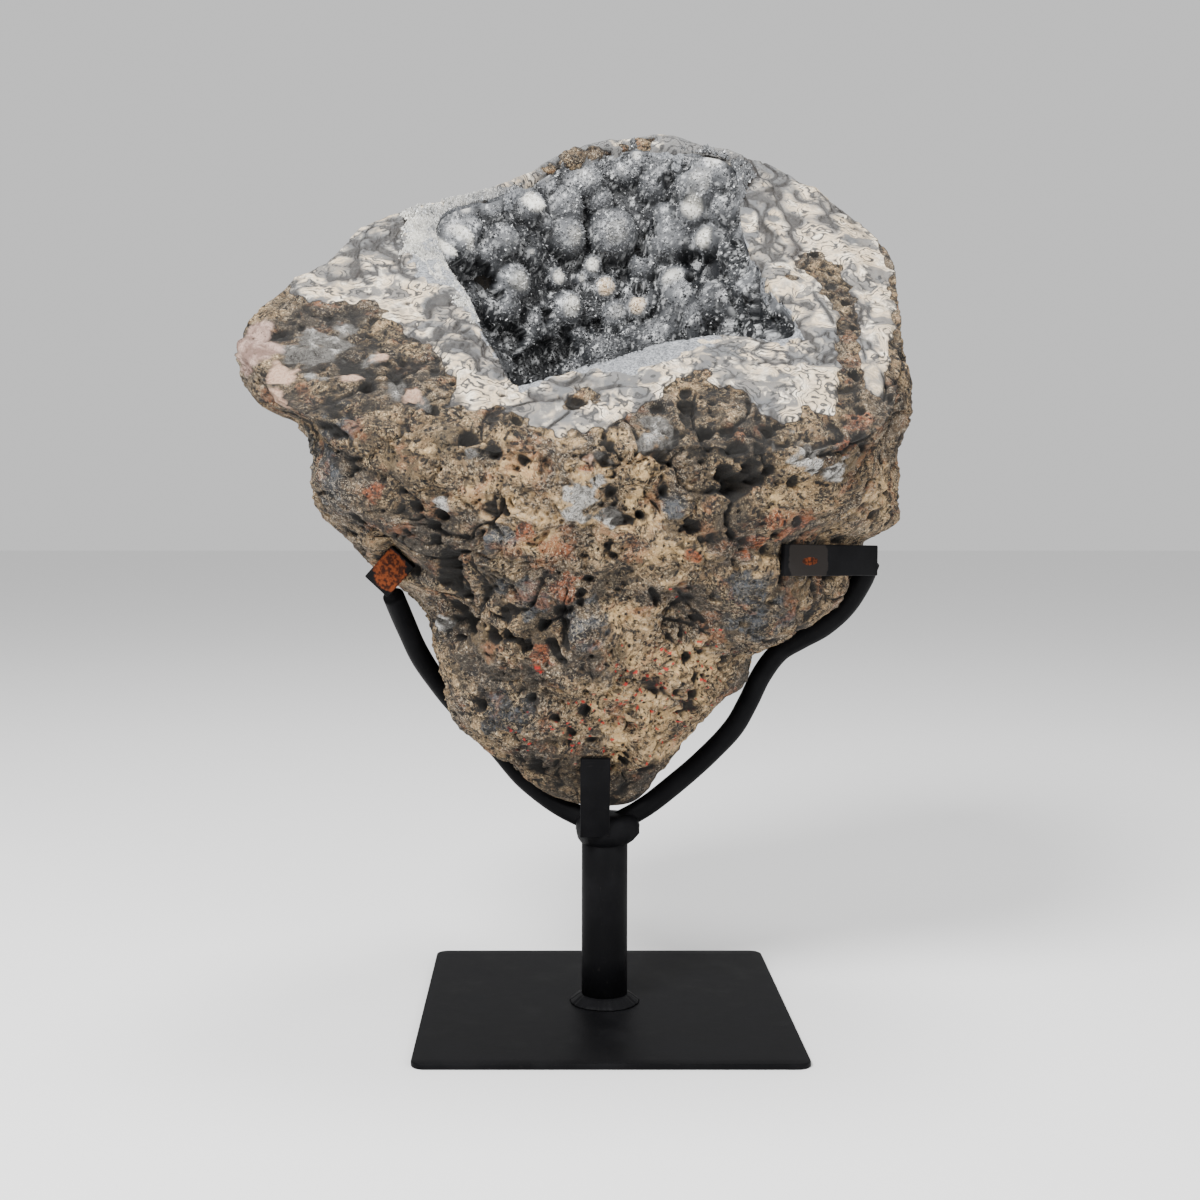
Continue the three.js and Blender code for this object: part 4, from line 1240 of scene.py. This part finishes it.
def knob_field(base):
    """Height, paleness and warmth that the knobs give: each a half ball set on the hollow's wall; the
    paleness also holds painted shade in the gaps, between knobs and deep down, and a painted highlight on
    each crown.
    """
    height = np.zeros(len(base))
    tone = 0.22 + 0.20 * noise(base, 24)
    warm = np.zeros(len(base))
    for column, row, radius, paleness in KNOBS:
        away, reach = HOLLOW.spread(base, column, row, radius, 1.12)
        ball = half_ball(away)
        height = np.maximum(height, 0.95 * reach * ball)
        share = smooth(1.35 - away * 1.25)
        # each knob's own paleness, with a painted highlight towards its crown
        tone = tone * (1 - share) + share * (0.15 + 0.85 * min(paleness, 1.0)) * (0.65 + 0.35 * ball)
        warm = np.maximum(warm, share * float(paleness > 1.0))
    away, value = cells(base, 21, 3)
    height = np.maximum(height, 5.5 * half_ball(away / 0.55) * (0.5 + value))
    away, value = cells(base, 9, 4)
    height += 1.6 * half_ball(away / 0.6) * value
    # Painted shade: the marked gaps, which are also sunk below the crust
    gaps = spot_mask(base, SHADED_GAPS, 0.5, HOLLOW)
    deep = smooth((height - 1) / 6)
    # painted shade on low crust between the knobs and in the gaps
    tone = np.maximum(tone, 0) ** 1.25 * (0.35 + 0.65 * deep) * (1 - 0.9 * gaps)
    # painted shade, darker towards the hollow's floor
    tone *= 1 - 0.62 * smooth((412 - base[:, 2]) / 55)
    return height * (1 - 0.6 * gaps) - 3 * gaps, tone, warm


def druse_surface(degrees, d):
    """The lining: the hollow's wall raised by the knobs along the inward direction."""
    base = hollow_points(degrees, d)
    inward = hollow_inward(degrees, d)
    height, tone, warm = knob_field(base)
    taper = smooth((d - 0.015) / 0.06) * smooth((0.995 - d) / 0.05)
    height = (1.0 + height) * taper + 0.3
    return base + inward * height[:, None], inward, tone, warm


def lining_piece():
    """The crystal crust as one closed skin, with facets of a millimetre worked into its surface."""
    degrees, d = np.meshgrid(90 + 360 * (np.arange(LINING_COLUMNS) / LINING_COLUMNS),
                             np.linspace(LINING_START, LINING_END, LINING_ROWS))
    shape = degrees.shape
    points, inward, tone, warm = druse_surface(degrees.ravel(), d.ravel())
    away, value = cells(points, FACET_SIZE, 5)
    facets = 0.9 * (0.6 - away) * (0.5 + value)
    points = points + inward * (facets * smooth((d.ravel() - 0.02) / 0.05))[:, None]
    back = sparse_rows((hollow_points(degrees.ravel(), d.ravel()) - inward * 1.2).reshape(*shape, 3))
    masks = {"tone": tone, "warm": warm, "glint": 0.5 * smooth((value - 0.8) / 0.1)}
    return make_piece("druzy_lining", *closed_band(points.reshape(*shape, 3), back), masks,
                      slot="druse", node="druzy_crust")


def crystal_places(rng, count):
    """Random places for crystals: most on the lining, the rest on the face inside the druse outline."""
    on_face = count // FACE_CRYSTALS
    degrees = rng.uniform(20, 215, on_face * 9)
    points = face_points(degrees, rng.uniform(0.1, 1, len(degrees)))
    keep = inside_outline(points, DRUSE_OUTLINE, 9.0) > rng.uniform(-7, 16, len(points))
    keep = np.flatnonzero(keep)[:on_face]
    face = points[keep]
    upward = np.tile(CUT_NORMAL, (len(keep), 1))
    rest = count - len(keep)
    degrees = 90 + 180 * np.sign(rng.uniform(-1, 1, rest)) * rng.uniform(0, 1, rest) ** 1.25
    d = 0.02 + 0.9 * rng.uniform(0, 1, rest) ** 1.15
    foot, inward, tone, warm = druse_surface(degrees, d)
    beside = druse_surface(degrees + 0.3, d)[0] - foot
    below = druse_surface(degrees, d + 0.004)[0] - foot
    normal = unit(unit(np.cross(beside, below)) + 0.3 * inward)
    face_tone = 0.30 + 0.25 * noise(face, 12) + 0.46 * smooth(-face[:, 0] / 20 - 2.5)
    return (np.concatenate([foot, face]), np.concatenate([normal, upward]),
            np.concatenate([tone, face_tone]), np.concatenate([warm, np.zeros(len(face))]))


def rings_across(side, other, count):
    """Circles of radius 1, each spanned by a pair of directions."""
    angle, _ = circle(count)
    return side[:, None] * np.cos(angle)[None, :, None] + other[:, None] * np.sin(angle)[None, :, None]


def crystal_piece(name, seed, settings):
    """Six-sided points strewn over the lining, each leaning a little from its surface."""
    rng = np.random.default_rng(seed)
    count = settings.crystals
    foot, normal, tone, warm = crystal_places(rng, count)
    lean = unit(normal + 0.55 * rng.normal(size=(count, 3)))
    side = unit(np.cross(lean, rng.normal(size=(count, 3))))
    other = np.cross(lean, side)
    width = settings.crystal_size / MM / 2 * rng.uniform(0.45, 1.35, count) ** 1.2
    ring = rings_across(side, other, CRYSTAL_SIDES)
    uneven = rng.uniform(0.75, 1.2, (count, CRYSTAL_SIDES, 1))
    base_ring = foot[:, None] + ring * (width[:, None, None] * uneven) - normal[:, None] * CRYSTAL_SUNK
    tall = width * rng.uniform(0.9, 2.0, count)
    tip = foot + lean * tall[:, None]
    points = np.concatenate([base_ring, tip[:, None]], axis=1)
    corners = CRYSTAL_SIDES + 1
    flanks = [[i, (i + 1) % CRYSTAL_SIDES, CRYSTAL_SIDES] for i in range(CRYSTAL_SIDES)]
    underside = [[0, i + 1, i] for i in range(1, CRYSTAL_SIDES - 1)]
    start = np.arange(count)[:, None, None] * corners
    triangles = (start + np.array(flanks + underside)[None]).reshape(-1, 3)
    bright = smooth((rng.uniform(0, 1, count) - 0.94) / 0.03)
    # tone carries the lining's paleness together with its painted shade and highlight
    masks = {"tone": tone * rng.uniform(0.8, 1.2, count), "warm": warm,
             "glint": 0.1 * rng.uniform(0, 1, count) + 0.9 * bright}
    masks = {mask: np.repeat(values, corners) for mask, values in masks.items()}
    return make_piece(name, points.reshape(-1, 3), np.zeros((0, 4), int), triangles, masks,
                      flat=True, slot="druse", node="druzy_crust")


def tube_piece(name, route, node):
    """A round rod: a circle carried along the smooth path, shut flat at each end."""
    path = smooth_path(route, ROD_RINGS)
    along = unit(np.gradient(path, axis=0))
    side = unit(np.cross(along, np.array([0.0, 1.0, 0.2])))
    other = np.cross(along, side)
    ring = rings_across(side, other, ROD_SIDES)
    body = path[:, None] + ring * ROD_RADIUS
    wobble = noise(body.reshape(-1, 3), 14).reshape(body.shape[:2])
    body = body + ring * (0.18 * wobble)[..., None]
    grid = np.concatenate([path[:1, None] + ring[:1] * 0.05, body, path[-1:, None] + ring[-1:] * 0.05])
    return strip_piece(name, grid, node, flip=True)


def strip_piece(name, grid, node, flip=False):
    """A closed skin over rings, shut at each end by a fan on its small last ring."""
    rows, columns = grid.shape[:2]
    index = np.arange(rows * columns).reshape(rows, columns)
    points = np.concatenate([grid.reshape(-1, 3), grid[0].mean(0)[None], grid[-1].mean(0)[None]])
    first, last = rows * columns, rows * columns + 1
    ahead = np.roll(index, -1, axis=1)
    low = np.stack([ahead[0], index[0], np.full(columns, first)], -1)
    high = np.stack([index[-1], ahead[-1], np.full(columns, last)], -1)
    triangles = np.concatenate([low, high])
    quads = band_faces(index)
    if flip:
        quads, triangles = quads[:, ::-1], triangles[:, ::-1]
    return make_piece(name, points, quads, triangles, slot="black_steel", node=node)


def corner_turns(count):
    """Round a square's four corners: which corner, and the cosine and sine of the turn there."""
    corners = ((1, 1, 0), (-1, 1, 90), (-1, -1, 180), (1, -1, 270))
    angle = np.radians([start + turned for _, _, start in corners for turned in np.linspace(0, 90, count)])
    signs = np.repeat([corner[:2] for corner in corners], count, axis=0)
    return signs, np.stack([np.cos(angle), np.sin(angle)], -1)


def bar_piece(name, bar, node):
    """A flat bar with rounded arrises: a rounded rectangle carried along, drawn in at both ends."""
    middle, length, along, across, outward = bar_axes(bar)
    signs, turns = corner_turns(5)
    half_section = np.array([BAR_WIDTH, BAR_THICKNESS]) / 2
    outline = signs * (half_section - BAR_ARRIS) + BAR_ARRIS * turns
    inner = outline * (1 - BAR_ARRIS / half_section)
    angle = np.radians(np.linspace(0, 90, 4))
    places = length / 2 - BAR_ARRIS + BAR_ARRIS * np.cos(angle)
    shares = np.sin(angle)
    rings = []
    for place, share in zip([*-places, *places[::-1]], [*shares, *shares[::-1]]):
        section = inner + (outline - inner) * share
        rings.append(middle + along * place + across * section[:, :1] + outward * section[:, 1:])
    return strip_piece(name, np.array(rings), node)


def lathe_piece(name, profile, node, columns=POST_SIDES, ripple=0.0):
    """A profile of radius and height turned about the post's axis, with a ripple as of weld beads."""
    angle, ring = circle(columns)
    waves = 0.6 * np.sin(angle * 17) + 0.8 * np.sin(angle * 5 + 1) + 0.5 * np.sin(angle * 31)
    rings = [ring * (radius + ripple * waves)[:, None] + np.array([0, 0, z]) for radius, z in profile]
    return strip_piece(name, np.array(rings), node)


def plate_piece(name, node):
    """The base plate: a square with round corners, its top and bottom arrises rounded off."""
    signs, turns = corner_turns(9)
    profile = [(PLATE_LIP, 0.0), (PLATE_ARRIS, 0.0)]
    profile += [(PLATE_ARRIS * (1 - math.sin(a)), PLATE_ARRIS * (1 - math.cos(a)))
                for a in np.radians([30, 60, 90])]
    profile += [(inset, PLATE_THICKNESS - z) for inset, z in profile[::-1]]
    rings = []
    for inset, z in profile:
        reach = PLATE_HALF - PLATE_CORNER - max(inset - PLATE_CORNER, 0)
        flat = signs * reach + max(PLATE_CORNER - inset, 0.1) * turns
        rings.append(np.column_stack([flat, np.full(len(flat), z)]))
    return strip_piece(name, np.array(rings), node)


def weld_lump(name, node):
    """The weld at the post's top: a collar whose radius and height swell unevenly round it."""
    angle, ring = circle(TOP_SIDES)
    from_lump = np.mod(angle + 0.35 + np.pi, 2 * np.pi) - np.pi
    swell = 1.2 + 0.9 * np.sin(angle * 3 + 0.6) + 3.4 * np.exp(-(from_lump / 0.5) ** 2)
    rings = []
    for radius, z, share in TOP_PROFILE:
        points = ring * (radius + share * swell)[:, None] + np.array([0, 0, z])
        rough = noise(points, 3.5) * 0.9 + noise(points, 1.7) * 0.4
        rings.append(points + ring * (share * rough)[:, None])
    return strip_piece(name, np.array(rings), node)


class GEODE_OT_rind(bpy.types.Operator):
    """Makes the stone's rough wall in three bands"""
    bl_idname = "geode.rind"
    bl_label = "Rind"

    def execute(self, context):
        settings = context.scene.geode_stone
        for name, low, high in WALL_BANDS:
            wall_band(name, low, high, settings)
        return {"FINISHED"}


class GEODE_OT_face(bpy.types.Operator):
    """Makes the cut face with its polished agate"""
    bl_idname = "geode.face"
    bl_label = "Cut face"

    def execute(self, context):
        face_band("cut_face", context.scene.geode_stone)
        return {"FINISHED"}


class GEODE_OT_druse(bpy.types.Operator):
    """Makes the crystal lining and its crystal points"""
    bl_idname = "geode.druse"
    bl_label = "Crystal hollow"

    def execute(self, context):
        settings = context.scene.geode_druse
        finish = druse_material(settings)
        pieces = [lining_piece()]
        pieces += [crystal_piece(f"quartz_points_{seed}", seed, settings) for seed in CRYSTAL_SEEDS]
        for piece in pieces:
            piece.data.materials.append(finish)
        return {"FINISHED"}


class GEODE_OT_stand(bpy.types.Operator):
    """Makes the steel stand: plate, post, rods, bars and welds"""
    bl_idname = "geode.stand"
    bl_label = "Stand"

    def execute(self, context):
        settings = context.scene.geode_stand
        paint = steel_material("black_paint", settings)
        burnt_tab = steel_material("burnt_paint", settings, burnt=LEFT_BURN)
        worn_tab = steel_material("worn_paint", settings, burnt=RIGHT_BURN, bare=RIGHT_BARE)
        pieces = (
            (plate_piece("plate_body", "base_plate"), paint),
            (lathe_piece("post_body", POST_PROFILE, "post"), paint),
            (lathe_piece("foot_bead", FOOT_PROFILE, "foot_weld", FOOT_SIDES, FOOT_RIPPLE), paint),
            (tube_piece("left_rod", LEFT_ROUTE, "left_arm"), paint),
            (tube_piece("right_rod", RIGHT_ROUTE, "right_arm"), paint),
            (bar_piece("left_bar", LEFT_TAB, "left_tab"), burnt_tab),
            (bar_piece("right_bar", RIGHT_TAB, "right_tab"), worn_tab),
            (bar_piece("front_bar", PRONG, "front_prong"), paint),
            (weld_lump("top_bead", "top_weld"), paint),
        )
        for piece, finish in pieces:
            piece.data.materials.append(finish)
        return {"FINISHED"}


class GEODE_OT_stage(bpy.types.Operator):
    """Makes the floor, the soft lights and the camera"""
    bl_idname = "geode.stage"
    bl_label = "Stage"

    def execute(self, context):
        scene = context.scene
        mesh = bpy.data.meshes.new("floor")
        mesh.from_pydata(FLOOR_CORNERS, [], [(0, 1, 2, 3)])
        floor = bpy.data.objects.new("floor", mesh)
        scene.collection.objects.link(floor)
        finish = Shader("floor").finish(Base_Color=(*scene.geode_stand.floor, 1.0), Roughness=0.9)
        mesh.materials.append(finish)
        world = bpy.data.worlds.new("studio")
        world.use_nodes = True
        sky = world.node_tree.nodes["Background"]
        sky.inputs["Color"].default_value = (1.0, 1.0, 1.0, 1.0)
        sky.inputs["Strength"].default_value = SKY_STRENGTH
        scene.world = world
        for name, place, target, size, power in LIGHTS:
            lamp = bpy.data.lights.new(name, "AREA")
            lamp.shape = "DISK"
            lamp.size = size
            lamp.energy = power
            light = bpy.data.objects.new(name, lamp)
            light.location = place
            aim = np.array(target) - np.array(place)
            flat = math.hypot(aim[0], aim[1])
            light.rotation_euler = (math.atan2(flat, -aim[2]), 0, math.atan2(aim[1], aim[0]) - math.pi / 2)
            scene.collection.objects.link(light)
        camera_data = bpy.data.cameras.new("camera")
        camera_data.sensor_width = SENSOR_WIDTH
        camera_data.lens = FOCAL_PIXELS * SENSOR_WIDTH / PHOTO_SIZE
        camera_data.shift_x = (PHOTO_SIZE / 2 - PHOTO_CENTRE[0]) / PHOTO_SIZE
        camera = bpy.data.objects.new("camera", camera_data)
        camera.location = CAMERA_PLACE * MM
        camera.rotation_euler = (math.pi / 2 - CAMERA_PITCH, 0, 0)
        scene.collection.objects.link(camera)
        scene.camera = camera
        return {"FINISHED"}


class GEODE_PT_panel(bpy.types.Panel):
    bl_idname = "GEODE_PT_panel"
    bl_label = "Geode"
    bl_space_type = "VIEW_3D"
    bl_region_type = "UI"
    bl_category = "Geode"

    def draw(self, context):
        for group in (context.scene.geode_stone, context.scene.geode_druse, context.scene.geode_stand):
            for name in group.__annotations__:
                self.layout.prop(group, name)
        for operator in OPERATORS:
            self.layout.operator(operator.bl_idname)


SETTINGS = (StoneSettings, DruseSettings, StandSettings)
OPERATORS = (GEODE_OT_stage, GEODE_OT_rind, GEODE_OT_face, GEODE_OT_druse, GEODE_OT_stand)


def register():
    for item in (*SETTINGS, *OPERATORS, GEODE_PT_panel):
        bpy.utils.register_class(item)
    bpy.types.Scene.geode_stone = bpy.props.PointerProperty(type=StoneSettings)
    bpy.types.Scene.geode_druse = bpy.props.PointerProperty(type=DruseSettings)
    bpy.types.Scene.geode_stand = bpy.props.PointerProperty(type=StandSettings)


def unregister():
    del bpy.types.Scene.geode_stone
    del bpy.types.Scene.geode_druse
    del bpy.types.Scene.geode_stand
    for item in reversed((*SETTINGS, *OPERATORS, GEODE_PT_panel)):
        bpy.utils.unregister_class(item)


def main():
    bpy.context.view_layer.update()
    register()
    bpy.ops.geode.stage()
    bpy.ops.geode.rind()
    bpy.ops.geode.face()
    bpy.ops.geode.druse()
    bpy.ops.geode.stand()


if __name__ == "__main__":
    main()
